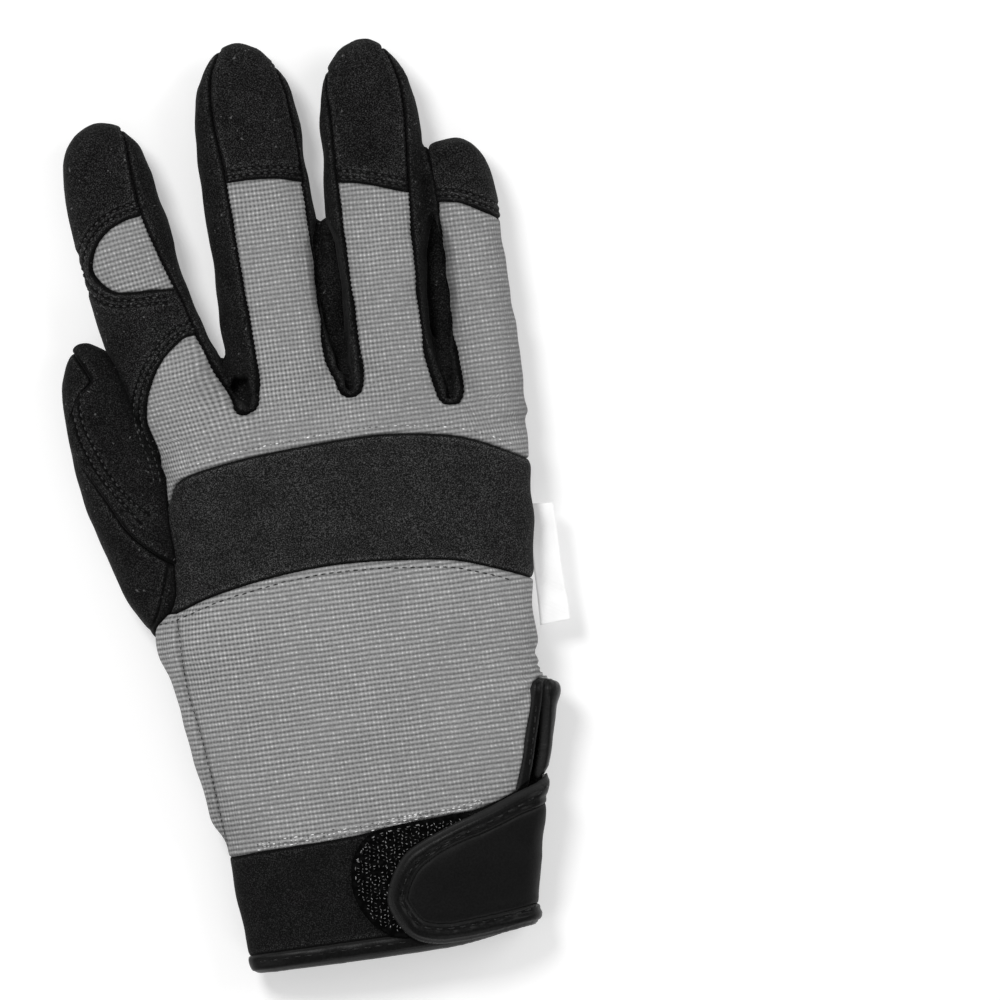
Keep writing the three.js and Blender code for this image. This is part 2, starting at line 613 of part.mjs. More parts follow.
const strapTop = BINDING_PROUD + SEAM_GAP + STRAP_THICKNESS;
const strapEdge = smooth(STRAP_EDGE.map(onHand), 2);
const hookRoom = hand({ out: BINDING_PROUD + hookTop + SEAM_GAP, start: -MOUTH_REACH })
  .intersect(prism(hookOutline, { low: SIDE_SEAM_HEIGHT - SEAM_GAP, grow: SEAM_GAP }));
function strapLayer(top, { grow = 0 } = {}) {
  return hand({ out: top })
    .intersect(prism(strapEdge, { low: STRAP_LOW_EDGE, grow }))
    .subtract(clearOfCuff)
    .subtract(hookRoom);
}
pieces.strap_panel = strapLayer(strapTop, { grow: -STRAP_BINDING_WIDTH - HALF_GAP });
pieces.strap_binding = strapLayer(strapTop + STRAP_BINDING_PROUD)
  .subtract(prism(strapEdge, { grow: -STRAP_BINDING_WIDTH + HALF_GAP }));

// Bare label sewn into the side seam.
const labelMiddle = onHand(LABEL_CENTRE);
pieces.side_label = block(
  new THREE.Vector3(labelMiddle.x - LABEL_WIDTH, labelMiddle.y - LABEL_LENGTH / 2, SIDE_SEAM_HEIGHT),
  new THREE.Vector3(
    labelMiddle.x + LABEL_WIDTH / 2, labelMiddle.y + LABEL_LENGTH / 2, SIDE_SEAM_HEIGHT + LABEL_THICKNESS,
  ),
).subtract(hand({ out: SEAM_GAP }));

// Materials

const FINISHES = {
  grey_knit: { color: 0x8c8c8c, roughness: 0.85 },
  black_suede: { color: 0x1c1c1c, roughness: 0.95 },
  black_knit: { color: 0x26262a, roughness: 0.9 },
  black_leatherette: { color: 0x161617, roughness: 0.55 },
  hook_tape: { color: 0x101010, roughness: 0.7 },
  white_satin: { color: 0xe8e8e6, roughness: 0.4 },
};
const FINISH_OF = {
  palm_panel: 'black_suede',
  back_panel: 'grey_knit',
  wrist_panel: 'grey_knit',
  index_insert: 'grey_knit',
  knuckle_band: 'black_knit',
  index_patch: 'black_suede',
  middle_tip: 'black_suede',
  ring_tip: 'black_suede',
  little_tip: 'black_suede',
  fourchette_index: 'black_suede',
  fourchette_middle: 'black_suede',
  fourchette_ring: 'black_suede',
  thumb_back: 'black_suede',
  thumb_front: 'black_suede',
  cuff_back: 'black_knit',
  cuff_palm: 'black_suede',
  cuff_binding: 'black_leatherette',
  vent_binding: 'black_leatherette',
  hook_patch: 'hook_tape',
  strap_panel: 'black_leatherette',
  strap_binding: 'black_leatherette',
  side_label: 'white_satin',
};

function panel(name, shape) {
  const { vertProperties, triVerts } = shape.getMesh();
  const geometry = new THREE.BufferGeometry();
  geometry.setAttribute('position', new THREE.BufferAttribute(new Float32Array(vertProperties), 3));
  geometry.setIndex(new THREE.BufferAttribute(new Uint32Array(triVerts), 1));
  const material = new THREE.MeshStandardMaterial({ ...FINISHES[FINISH_OF[name]], metalness: 0 });
  const mesh = new THREE.Mesh(geometry, material);
  mesh.name = name;
  return mesh;
}

// The glove stands centred on the middle of its own underside.
const glove = new THREE.Group();
glove.name = 'winter_work_glove';
glove.add(...Object.entries(pieces).map(([name, shape]) => panel(name, shape)));
const bounds = new THREE.Box3().setFromObject(glove);
const centre = bounds.getCenter(new THREE.Vector3());
glove.position.set(-centre.x, -centre.y, -bounds.min.z);
glove.updateMatrixWorld(true);

export default glove;
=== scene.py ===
"""Looks of a winter work glove for the right hand, lying palm down with its strap closed.

Shapes are worked out in millimetres in the glove's own plan: x to the little finger, y from the
cuff to the fingertips, z up. MILLIMETRE and SHIFT turn them into the row frame's metres.
"""

import math

import bpy
import numpy as np
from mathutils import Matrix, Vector
from mathutils.bvhtree import BVHTree
from mathutils.kdtree import KDTree


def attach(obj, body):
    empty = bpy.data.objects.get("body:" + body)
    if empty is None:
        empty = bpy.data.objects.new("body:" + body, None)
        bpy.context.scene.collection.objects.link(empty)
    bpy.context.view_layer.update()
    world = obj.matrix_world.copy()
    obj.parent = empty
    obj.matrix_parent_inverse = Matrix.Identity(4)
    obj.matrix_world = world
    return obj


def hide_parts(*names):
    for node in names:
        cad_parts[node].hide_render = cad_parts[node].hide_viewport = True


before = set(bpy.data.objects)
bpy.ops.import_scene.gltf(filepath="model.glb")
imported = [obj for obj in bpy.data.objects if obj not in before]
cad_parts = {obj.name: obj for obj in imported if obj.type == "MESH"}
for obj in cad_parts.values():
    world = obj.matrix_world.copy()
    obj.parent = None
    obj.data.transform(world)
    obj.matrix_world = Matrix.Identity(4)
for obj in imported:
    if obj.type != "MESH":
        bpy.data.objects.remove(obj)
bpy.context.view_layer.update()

MILLIMETRE = 0.001
SHIFT = np.array([5.506, -124.823, 0.0])
rng = np.random.default_rng(7)

# Sizes of the glove

HAND_LENGTH = 155.0
HALF_WIDTH = 50.0
HAND_HEIGHT = 27.0
KNUCKLE_DROP = 12.0
CUFF_RISE = 5.0
SIDE_SEAM = 8.5
THUMB_SEAM_HEIGHT = 6.0
WALL = 2.2
FINGER_HEIGHT = 20.0
CROTCH_WIDTH = 8.0
FINGER_AXIS_SHARE = 0.48
VOXEL = 1.0
KNIT_ROW = 1.33

# Sections of the hand: along, left, right, high
HAND_SECTIONS = np.array([
    (-0.06, -0.79, 0.73, 0.70), (0.00, -0.79, 0.73, 0.70), (0.05, -0.81, 0.74, 0.71),
    (0.13, -0.83, 0.78, 0.73), (0.21, -0.84, 0.85, 0.76), (0.27, -0.88, 0.91, 0.79),
    (0.33, -0.92, 0.98, 0.83), (0.39, -0.96, 1.03, 0.88), (0.43, -0.98, 1.055, 0.90),
    (0.45, -0.985, 0.975, 0.91), (0.47, -0.99, 0.967, 0.92), (0.53, -1.02, 0.98, 0.95),
    (0.59, -1.07, 0.99, 0.98), (0.63, -1.05, 1.01, 1.00), (0.66, -0.98, 1.02, 1.00),
    (0.70, -0.94, 1.04, 1.00), (0.80, -0.92, 1.06, 0.99), (0.88, -0.90, 1.08, 0.96),
    (0.93, -0.92, 1.08, 0.91), (0.97, -0.97, 1.08, 0.83), (1.00, -0.99, 1.08, 0.72),
    (1.02, -0.99, 1.08, 0.58),
])

# Profiles: along, high, round, square, splayed
FINGER_PROFILE = np.array([
    (0.000, 1.00, 1.00, 1.00, 1.22), (0.120, 1.00, 1.00, 1.00, 1.19), (0.300, 0.98, 1.00, 1.00, 1.06),
    (0.600, 0.94, 0.985, 1.00, 0.99), (0.760, 0.90, 0.96, 1.00, 0.96), (0.860, 0.84, 0.89, 0.99, 0.89),
    (0.910, 0.76, 0.79, 0.97, 0.79), (0.955, 0.60, 0.58, 0.92, 0.58), (0.984, 0.40, 0.36, 0.82, 0.36),
    (1.000, 0.14, 0.10, 0.40, 0.10),
])
THUMB_PROFILE = np.array([
    (0.00, 1.00, 0.64), (0.12, 1.02, 0.90), (0.25, 1.03, 1.03), (0.40, 1.02, 1.04), (0.60, 0.98, 1.00),
    (0.74, 0.93, 0.92), (0.84, 0.84, 0.79), (0.92, 0.68, 0.61), (0.97, 0.46, 0.40), (1.00, 0.16, 0.12),
])
ROUND, SQUARE, SPLAYED = 2, 3, 4

# Fingers: root across and along, length, width, height, lean at root and tip, profile and its side columns
DIGITS = {
    "index": (-0.712, 0.935, 90.0, 26.5, FINGER_HEIGHT, -15, -3, FINGER_PROFILE, ROUND, SPLAYED),
    "middle": (-0.18, 0.935, 104.7, 30.0, FINGER_HEIGHT, 0, -1, FINGER_PROFILE, ROUND, ROUND),
    "ring": (0.424, 0.923, 103.0, 28.5, FINGER_HEIGHT, 0, 4, FINGER_PROFILE, ROUND, ROUND),
    "little": (0.916, 0.903, 76.5, 18.6, FINGER_HEIGHT, 0, 0, FINGER_PROFILE, SQUARE, ROUND),
    "thumb": (-0.84, 0.587, 86.5, 25.0, 19.5, -20.5, -6, THUMB_PROFILE, ROUND, ROUND),
}

# Seams along the fingers: along, across
SEAMS = {
    "index_right": [(0.20, 0.91), (0.31, 0.83), (0.42, 0.77), (0.56, 0.62), (0.71, 0.48), (0.86, 0.49),
                    (0.94, 0.49), (1.00, 0.42), (1.10, 0.40)],
    "middle_left": [(0.18, -0.43), (0.43, -0.48), (0.67, -0.51), (0.81, -0.57), (0.91, -0.52), (0.97, -0.34),
                    (1.02, -0.14), (1.08, -0.10)],
    "middle_right": [(0.18, 0.78), (0.40, 0.81), (0.65, 0.84), (0.78, 0.82), (0.88, 0.75), (0.95, 0.59),
                     (1.01, 0.38), (1.08, 0.30)],
    "ring_left": [(0.18, -0.62), (0.45, -0.66), (0.63, -0.69), (0.80, -0.71), (0.90, -0.73), (0.96, -0.60),
                  (1.02, -0.33), (1.08, -0.25)],
    "ring_right": [(0.18, 0.58), (0.46, 0.60), (0.70, 0.65), (0.82, 0.67), (0.90, 0.59), (0.96, 0.42),
                   (1.01, 0.22), (1.08, 0.18)],
    "little_left": [(0.22, -0.79), (0.33, -0.81), (0.52, -0.82), (0.72, -0.75), (0.85, -0.75), (0.94, -0.80),
                    (1.03, -0.84), (1.10, -0.84)],
}
# Gussets: seam down, seam up, turning point across and along
GUSSETS = {
    "fourchette_index": ("index", "index_right", "middle", "middle_left", -0.40, 0.968),
    "fourchette_middle": ("middle", "middle_right", "ring", "ring_left", 0.17, 0.974),
    "fourchette_ring": ("ring", "ring_right", "little", "little_left", 0.70, 0.935),
}
GUSSET_TURN = [(-0.95, 1.15), (-0.80, 0.55), (-0.50, 0.15), (0, 0), (0.50, 0.15), (0.80, 0.55), (0.95, 1.15)]
CAP_EDGES = {
    "middle": [(0.648, -1.2), (0.648, -0.5), (0.648, 0), (0.640, 0.42), (0.624, 0.86), (0.615, 1.2)],
    "ring": [(0.640, -1.2), (0.634, -0.7), (0.627, -0.32), (0.612, 0.1), (0.591, 0.6), (0.565, 1.2)],
    "little": [(0.787, -1.1), (0.784, -0.75), (0.771, -0.19), (0.739, 0.34), (0.690, 1.0), (0.675, 1.3)],
}
WINDOW_EDGE = [(0.715, 0.75), (0.699, 0.48), (0.696, 0.17), (0.68, -0.22), (0.642, -0.56), (0.586, -0.76),
               (0.541, -0.69), (0.501, -0.47), (0.485, -0.18), (0.47, 0.34), (0.45, 0.88)]

# Edges across the hand: across, along
BAND_TOP = [(-1.30, 0.79), (-1.00, 0.80), (-0.90, 0.83), (-0.85, 0.862), (-0.77, 0.877), (-0.60, 0.888),
            (-0.35, 0.897), (0.00, 0.903), (0.30, 0.903), (0.60, 0.89), (0.80, 0.871), (1.07, 0.826),
            (1.30, 0.78)]
BAND_BOTTOM = [(-1.30, 0.63), (-1.10, 0.637), (-0.93, 0.645), (-0.70, 0.665), (-0.40, 0.681), (-0.10, 0.688),
               (0.16, 0.685), (0.40, 0.677), (0.60, 0.667), (0.80, 0.645), (1.01, 0.616), (1.30, 0.57)]
CUFF_TOP = [(-1.30, 0.21), (-0.84, 0.21), (-0.60, 0.213), (-0.20, 0.216), (0.20, 0.226), (0.50, 0.232),
            (0.64, 0.242), (0.79, 0.26), (1.30, 0.33)]
PATCH_EDGE = [(-0.52, 1.120), (-0.63, 1.119), (-0.70, 1.113), (-0.80, 1.087), (-0.88, 1.052), (-0.93, 1.013),
              (-0.94, 0.981), (-0.92, 0.948), (-0.89, 0.903), (-0.90, 0.858), (-1.05, 0.82)]
THUMB_SEAM = [(1.06, -0.25), (0.98, -0.20), (0.915, -0.05), (0.88, -0.02), (0.84, -0.40), (0.75, -0.76),
              (0.65, -0.73), (0.52, -0.50), (0.40, -0.30), (0.29, 0.12), (0.23, 0.60), (0.19, 1.60)]
VENT_MIDDLE = [(0.985, 0.435), (0.965, 0.40), (0.94, 0.365), (0.90, 0.315), (0.85, 0.265), (0.78, 0.20),
               (0.72, 0.12), (0.69, 0.05), (0.67, -0.05)]
STRAP_EDGE = [(1.40, 0.36), (0.92, 0.277), (0.82, 0.258), (0.56, 0.226), (0.40, 0.210), (0.24, 0.190),
              (0.12, 0.168), (0.04, 0.135), (0.00, 0.097), (0.03, 0.065), (0.09, 0.036), (0.18, 0.021),
              (0.30, 0.016), (0.50, 0.019), (0.70, 0.026), (0.82, 0.037), (1.00, 0.055), (1.40, 0.08)]


# Curves

def hermite(where, table, column):
    """A smooth curve through one column of a table whose first column is the place along."""
    xs, ys = table[:, 0], table[:, column]
    slope = np.gradient(ys, xs)
    steps = np.diff(ys) / np.diff(xs)
    # no overshoot where the column turns round
    limit = 3 * np.minimum(np.abs(np.r_[steps[0], steps]), np.abs(np.r_[steps, steps[-1]]))
    slope = np.clip(slope, -limit, limit)
    at = np.clip(np.searchsorted(xs, where, side="right") - 1, 0, len(xs) - 2)
    width = xs[at + 1] - xs[at]
    t = np.clip((where - xs[at]) / width, 0, 1)
    a, b = ys[at], ys[at + 1]
    return ((2 * t**3 - 3 * t**2 + 1) * a + (t**3 - 2 * t**2 + t) * width * slope[at]
            + (3 * t**2 - 2 * t**3) * b + (t**3 - t**2) * width * slope[at + 1])


def smooth_line(points, steps=6):
    """Catmull-Rom curve through plan or space points."""
    p = np.asarray(points, float)
    before = np.vstack([p[:1], p[:-2]])
    after = np.vstack([p[2:], p[-1:]])
    out = []
    for i in range(len(p) - 1):
        p0, p1, p2, p3 = before[i], p[i], p[i + 1], after[i]
        t = (np.arange(steps) / steps)[:, None]
        out.append(0.5 * (2 * p1 + (p2 - p0) * t + (2 * p0 - 5 * p1 + 4 * p2 - p3) * t**2
                          + (3 * p1 - p0 - 3 * p2 + p3) * t**3))
    out.append(p[-1:])
    return np.vstack(out)


def cuff_rise(x):
    return CUFF_RISE * np.clip((x / HALF_WIDTH - 0.2) / 0.6, 0, 1) ** 2


def on_hand(point):
    return np.array([point[0] * HALF_WIDTH, point[1] * HAND_LENGTH])


def on_digit(name, along, across):
    root_across, root_along, length, width, _, lean0, lean1, *_ = DIGITS[name]
    lean0, bend = math.radians(lean0), math.radians(lean1 - lean0)
    half = bend * along / 2
    chord = length * along * (np.sinc(half / np.pi))
    side = across * width / 2
    x = root_across * HALF_WIDTH + chord * np.sin(lean0 + half) + side * np.cos(lean0 + bend * along)
    y = root_along * HAND_LENGTH + chord * np.cos(lean0 + half) - side * np.sin(lean0 + bend * along)
    return np.stack([x, y], -1)


def seam(name, key_or_rows):
    rows = SEAMS[key_or_rows] if isinstance(key_or_rows, str) else key_or_rows
    return np.array([on_digit(name, along, across) for along, across in rows])


# The glove's bare form

def oval(sides, squareness):
    turn = 2 * np.pi * (np.arange(sides) + 0.5) / sides
    c, s = np.cos(turn), np.sin(turn)
    return np.sign(c) * np.abs(c) ** (2 / squareness), np.sign(s) * np.abs(s) ** (2 / squareness)


def loft(rings):
    rows, sides, _ = rings.shape
    points = np.vstack([rings.reshape(-1, 3), rings[0].mean(0), rings[-1].mean(0)])
    faces = []
    for row in range(rows - 1):
        for i in range(sides):
            a, b = row * sides + i, row * sides + (i + 1) % sides
            faces.append((a, b, b + sides, a + sides))
    first, last, centre = 0, (rows - 1) * sides, rows * sides
    for i in range(sides):
        j = (i + 1) % sides
        faces.append((centre, first + j, first + i))
        faces.append((centre + 1, last + i, last + j))
    return points, faces


def hand_loft(rows=150, sides=120):
    across, up = oval(sides, 2.6)
    t = np.linspace(HAND_SECTIONS[0, 0], HAND_SECTIONS[-1, 0], rows)
    left, right, high = (hermite(t, HAND_SECTIONS, c)[:, None] for c in (1, 2, 3))
    left, right, middle = left * HALF_WIDTH, right * HALF_WIDTH, high * HAND_HEIGHT / 2
    x = (left + right) / 2 + across * (right - left) / 2
    drop = np.maximum(0, t - 0.7)[:, None] / 0.3 * KNUCKLE_DROP * np.maximum(0, x / HALF_WIDTH) ** 2
    rise = np.clip(1 - t / 0.2, 0, 1)[:, None] * cuff_rise(x)
    z = middle + up * middle * np.where(up < 0, 1.1, 1.0)
    y = t[:, None] * HAND_LENGTH + rise - drop
    return loft(np.stack([x, y, np.maximum(0, z)], -1))


def digit_loft(name, rows=110, sides=64):
    *_, height, _, _, profile, left, right = DIGITS[name]
    across, up = oval(sides, 2.2)
    t = 1 - np.linspace(1, 0, rows) ** 1.6
    high = hermite(t, profile, 1)[:, None]
    share = np.where(across < 0, hermite(t, profile, left)[:, None], hermite(t, profile, right)[:, None])
    plan = on_digit(name, np.repeat(t[:, None], sides, 1), across * share)
    z = height * FINGER_AXIS_SHARE + up * height * (1 - FINGER_AXIS_SHARE) * high
    return loft(np.dstack([plan, np.maximum(0, z)]))


def remeshed(parts, voxel):
    """One even skin round the given closed forms, in millimetres."""
    mesh = bpy.data.meshes.new("form")
    points, faces, start = [], [], 0
    for p, f in parts:
        points.append(p)
        faces += [tuple(i + start for i in face) for face in f]
        start += len(p)
    mesh.from_pydata(np.vstack(points).tolist(), [], faces)
    obj = bpy.data.objects.new("form", mesh)
    bpy.context.scene.collection.objects.link(obj)
    bpy.context.view_layer.objects.active = obj
    mesh.remesh_voxel_size = voxel
    mesh.use_remesh_fix_poles = False
    bpy.ops.object.voxel_remesh()
    mesh = obj.data
    verts = np.empty(len(mesh.vertices) * 3)
    mesh.vertices.foreach_get("co", verts)
    quads = np.array([p.vertices[:] for p in mesh.polygons])
    bpy.data.objects.remove(obj)
    tris = np.vstack([quads[:, [0, 1, 2]], quads[:, [0, 2, 3]]])
    return verts.reshape(-1, 3), tris


def unique_edges(tris):
    e = np.sort(np.vstack([tris[:, [0, 1]], tris[:, [1, 2]], tris[:, [2, 0]]]), 1)
    return np.unique(e, axis=0)


def spread(values, edges, count):
    """Mean of each point's neighbours."""
    total = np.zeros_like(values)
    number = np.zeros(count)
    for a, b in ((0, 1), (1, 0)):
        np.add.at(total, edges[:, a], values[edges[:, b]])
        np.add.at(number, edges[:, a], 1)
    return total / np.maximum(number, 1)[:, None]


def relax(verts, tris, rounds):
    edges = unique_edges(tris)
    for _ in range(rounds):
        for share in (0.55, -0.57):
            verts = verts + share * (spread(verts, edges, len(verts)) - verts)
    return verts


def normals_of(verts, tris):
    a, b, c = (verts[tris[:, i]] for i in range(3))
    face = np.cross(b - a, c - a)
    out = np.zeros_like(verts)
    for i in range(3):
        np.add.at(out, tris[:, i], face)
    return out / np.maximum(np.linalg.norm(out, axis=1), 1e-12)[:, None]


# Cutting a skin along outlines

class Skin:
    """Points with their data, and triangles; cuts add points that both sides share."""

    def __init__(self, verts, tris):
        edges = unique_edges(tris)
        normal = normals_of(verts, tris)
        for _ in range(3):
            normal = normal + 0.5 * (spread(normal, edges, len(verts)) - normal)
        normal /= np.linalg.norm(normal, axis=1)[:, None]
        self.data = np.hstack([verts, normal])
        self.tris = tris

    def halve(self, chosen):
        """Puts a point in the middle of each chosen edge."""
        code = {tuple(e): len(self.data) + i for i, e in enumerate(chosen.tolist())}
        new = (self.data[chosen[:, 0]] + self.data[chosen[:, 1]]) / 2
        self.data = np.vstack([self.data, new])
        out = []
        marked = np.zeros(len(self.data), bool)
        marked[chosen.ravel()] = True
        touched = marked[self.tris].sum(1) >= 2
        keep = self.tris[~touched]
        for a, b, c in self.tris[touched].tolist():
            ab, bc, ca = (code.get((min(p, q), max(p, q))) for p, q in ((a, b), (b, c), (c, a)))
            if ab is None and bc is None and ca is None:
                out.append((a, b, c))
                continue
            ring = [a] + ([ab] if ab is not None else []) + [b] + ([bc] if bc is not None else []) + [c]
            ring += [ca] if ca is not None else []
            if len(ring) == 6:
                out += [(a, ab, ca), (ab, b, bc), (bc, c, ca), (ab, bc, ca)]
            elif len(ring) == 4:
                k = next(i for i, v in enumerate(ring) if v in (ab, bc, ca) and v is not None)
                r = ring[k:] + ring[:k]
                out += [(r[0], r[1], r[2]), (r[0], r[2], r[3])]
            else:
                corner = next(i for i in range(5) if ring[i] in (a, b, c)
                              and ring[i - 1] in (ab, bc, ca) and ring[(i + 1) % 5] in (ab, bc, ca))
                r = ring[corner:] + ring[:corner]
                out += [(r[0], r[1], r[4]), (r[1], r[2], r[4]), (r[2], r[3], r[4])]
        self.tris = np.vstack([keep, np.array(out, int).reshape(-1, 3)])

    def split(self, tris, height, snap=0.06):
        """Triangles where height is below zero, and the rest. height is a function of the points."""
        value = height(self.data[:, :3])
        value[np.abs(value) < snap] = 0
        sign = np.sign(value[tris])
        inside = (sign <= 0).all(1) & (sign < 0).any(1)
        outside = (sign >= 0).all(1)
        crossing = tris[~inside & ~outside]
        below, above = [tris[inside]], [tris[outside]]
        codes, new = {}, []

        def between(p, q):
            key = (min(p, q), max(p, q))
            if key not in codes:
                codes[key] = len(self.data) + len(new)
                t = value[key[0]] / (value[key[0]] - value[key[1]])
                new.append(self.data[key[0]] * (1 - t) + self.data[key[1]] * t)
            return codes[key]

        low, high = [], []
        for tri in crossing.tolist():
            down, up = [], []
            for i in range(3):
                p, q = tri[i], tri[(i + 1) % 3]
                if value[p] <= 0:
                    down.append(p)
                if value[p] >= 0:
                    up.append(p)
                if value[p] * value[q] < 0:
                    m = between(p, q)
                    down.append(m)
                    up.append(m)
            low += [(down[0], down[i], down[i + 1]) for i in range(1, len(down) - 1)]
            high += [(up[0], up[i], up[i + 1]) for i in range(1, len(up) - 1)]
        if new:
            self.data = np.vstack([self.data, np.array(new)])
        below.append(np.array(low, int).reshape(-1, 3))
        above.append(np.array(high, int).reshape(-1, 3))
        return np.vstack(below), np.vstack(above)


def plan_distance(outline):
    """Signed distance in plan to a closed outline, negative inside."""
    p = np.asarray(outline, float)
    q = np.roll(p, -1, 0)

    def distance(points):
        x, y = points[:, 0], points[:, 1]
        best = np.full(len(x), 1e9)
        inside = np.zeros(len(x), bool)
        low, high = p.min(0) - 4, p.max(0) + 4
        near = (x > low[0]) & (x < high[0]) & (y > low[1]) & (y < high[1])
        x, y = x[near], y[near]
        b, s = np.full(len(x), 1e9), np.zeros(len(x), bool)
        for (ax, ay), (bx, by) in zip(p, q):
            dx, dy = bx - ax, by - ay
            size = dx * dx + dy * dy
            if size == 0:
                continue
            t = np.clip(((x - ax) * dx + (y - ay) * dy) / size, 0, 1)
            b = np.minimum(b, np.hypot(x - ax - t * dx, y - ay - t * dy))
            if ay != by:
                cross = ((ay > y) != (by > y)) & (x < (bx - ax) * (y - ay) / (by - ay) + ax)
                s ^= cross
        best[near], inside[near] = b, s
        return np.where(inside, -best, best)
    return distance


def gusset_outline(name):
    digit_a, seam_a, digit_b, seam_b, across, along = GUSSETS[name]
    down, up = seam(digit_a, seam_a)[::-1], seam(digit_b, seam_b)
    turn = on_hand((across, along))
    bend = [turn + np.array(s) * CROTCH_WIDTH / 2 for s in GUSSET_TURN]
    high = max(down[0][1], up[-1][1]) + CROTCH_WIDTH
    line = smooth_line(np.vstack([down, bend, up]))
    return np.vstack([[(down[0][0], high)], line, [(up[-1][0], high)]])


def below_line(rows):
    line = smooth_line([on_hand(r) for r in rows])
    return np.vstack([line, [(line[-1][0], -60), (line[0][0], -60)]])


def beyond_cap(name):
    edge = smooth_line(seam(name, CAP_EDGES[name]))
    return np.vstack([edge, [on_digit(name, 1.2, 1.2), on_digit(name, 1.2, -1.2)]])


def beside(line, start, rest):
    line = np.asarray(line, float)
    ahead, back = np.vstack([line[1:], line[-1:]]), np.vstack([line[:1], line[:-1]])
    along = ahead - back
    along /= np.linalg.norm(along, axis=1)[:, None]
    reach = start + (rest - start) * np.minimum(1, 3 * np.arange(len(line)) / (len(line) - 1))
    return line + np.stack([-along[:, 1], along[:, 0]], 1) * reach[:, None]


patch_outline = np.vstack([smooth_line([on_hand(r) for r in PATCH_EDGE]), [
    on_hand((-1.4, 0.82)), on_digit("index", 1.2, -2.4), on_digit("index", 1.2, 1.2),
    on_digit("index", 0.40, 0.85)]])
thumb_outline = np.vstack([smooth_line(seam("thumb", THUMB_SEAM)), [
    on_digit("thumb", 0.19, 2.4), on_digit("thumb", 1.2, 2.4)]])
band_outline = np.vstack([smooth_line([on_hand(r) for r in BAND_BOTTOM]),
                          smooth_line([on_hand(r) for r in BAND_TOP])[::-1]])
vent_line = smooth_line([on_hand(r) for r in VENT_MIDDLE])
vent_top = vent_line[0] + (-1.6, 1.6)
vent_outline = np.vstack([[vent_top], beside(vent_line, -3.1, -4.0),
                          [(100, -8), (100, 45), vent_top + (8, -3.6)]])
slit_outline = np.vstack([beside(vent_line, 0.3, 1.2), beside(vent_line, -0.3, -1.2)[::-1]])
cuff_side_outline = np.vstack([vent_line, [(-100, -60), (-100, vent_line[0][1])]])
strap_outline = smooth_line([on_hand(r) for r in STRAP_EDGE])


def hand_rows(points):
    """Points measured from the cuff's lower left corner, 5 mm below the plan's own."""
    return smooth_line([(x, y + 5) for x, y in points])


def offset_line(line, distance):
    return beside(line, distance, distance)


def cap_row(name, low, high):
    """The lower edge of a fingertip cap between its side seams."""
    table = CAP_EDGES[name]
    ends = [(float(np.interp(a, [r[1] for r in table], [r[0] for r in table])), a) for a in (low, high)]
    return smooth_line(seam(name, [ends[0]] + [r for r in table if low < r[1] < high] + [ends[1]]))


WRIST_FOLD = hand_rows([(-46.5, 95), (-46.5, 75), (-45, 65), (-43.3, 50), (-42, 35), (-41.5, 29)])
THUMB_CREASE = hand_rows([(-47, 108), (-49, 102), (-51.5, 96), (-55, 90)])
STRAP_ROW = offset_line(strap_outline, 2.9)
window = smooth_line(seam("index", WINDOW_EDGE))
patch_line = smooth_line([on_hand(r) for r in PATCH_EDGE])[3:-6]
STITCH_ROWS = {
    "index_patch": [offset_line(window, -2.1)[4:-4], offset_line(window, -3.7)[4:-4],
                    offset_line(patch_line, -1.7), offset_line(patch_line, -3.4)],
    "thumb_back": [hand_rows([(-63.5, 158), (-64.5, 151), (-62.5, 143), (-58.5, 133), (-54, 126),
                              (-50, 122)]),
                   hand_rows([(-66.5, 153), (-65, 143), (-61, 133), (-56.5, 126), (-52.5, 120)])],
    "middle_tip": [offset_line(cap_row("middle", -0.50, 0.80), d) for d in (1.5, 3.2)],
    "ring_tip": [offset_line(cap_row("ring", -0.66, 0.60), d) for d in (1.5, 3.2)],
    "little_tip": [offset_line(cap_row("little", -0.72, 0.80), d) for d in (1.5, 3.2)],
}
# Lines the skin is refined along and beside which the cloth is darkened: painted shade in the stitch grooves,
# the wrist fold and the thumb crease.
DARK_LINES = {**STITCH_ROWS, "wrist_panel": [WRIST_FOLD], "thumb_front": [THUMB_CREASE]}


# Skins of the hand with its fingers, and of the thumb

FINGERS = ("index", "middle", "ring", "little")
hand_points, hand_faces = remeshed([hand_loft()] + [digit_loft(name) for name in FINGERS], VOXEL)
thumb_points, thumb_faces = remeshed([digit_loft("thumb")], VOXEL)


def waves(points, length, seed, count=7):
    """Smooth noise from -1 to 1: a sum of plane waves about this long."""
    source = np.random.default_rng(seed)
    total = np.zeros(len(points))
    for _ in range(count):
        way = source.normal(size=3)
        way /= np.linalg.norm(way)
        pitch = 2 * np.pi / (length * source.uniform(0.7, 1.5))
        total += np.sin(points @ way * pitch + source.uniform(0, 6.28))
    return total / math.sqrt(count)


def line_distance(line):
    """Distance in plan to an open line, and the share of the line where that is nearest."""
    p = np.asarray(line, float)
    run = np.r_[0, np.cumsum(np.linalg.norm(np.diff(p, axis=0), axis=1))]

    def distance(points):
        best, share = np.full(len(points), 1e9), np.zeros(len(points))
        for a, b, start, size in zip(p, p[1:], run, np.diff(run)):
            t = np.clip(((points[:, :2] - a) @ (b - a)) / size**2, 0, 1)
            away = np.linalg.norm(points[:, :2] - a - t[:, None] * (b - a), axis=1)
            closer = away < best
            best = np.where(closer, away, best)
            share = np.where(closer, (start + t * size) / run[-1], share)
        return best, share
    return distance


# Folds between the fingers, from each turning point outwards: x, y, height of the fold's floor
FOLDS = [
    [(-19.4, 152.0, 15.5), (-20.2, 154.5, 12.5), (-21.2, 157.5, 11.0), (-22.2, 160.5, 10.5)],
    [(8.4, 153.5, 15.5), (7.8, 157, 11.0), (7.0, 164, 8.0), (6.6, 176, 6.5), (6.6, 190, 5.5),
     (6.8, 204, 5.0)],
    [(34.9, 147.5, 15.5), (34.7, 151, 12.0), (34.4, 158, 8.5), (34.9, 168, 7.0), (36.0, 182, 6.0),
     (37.2, 196, 5.5)],
]


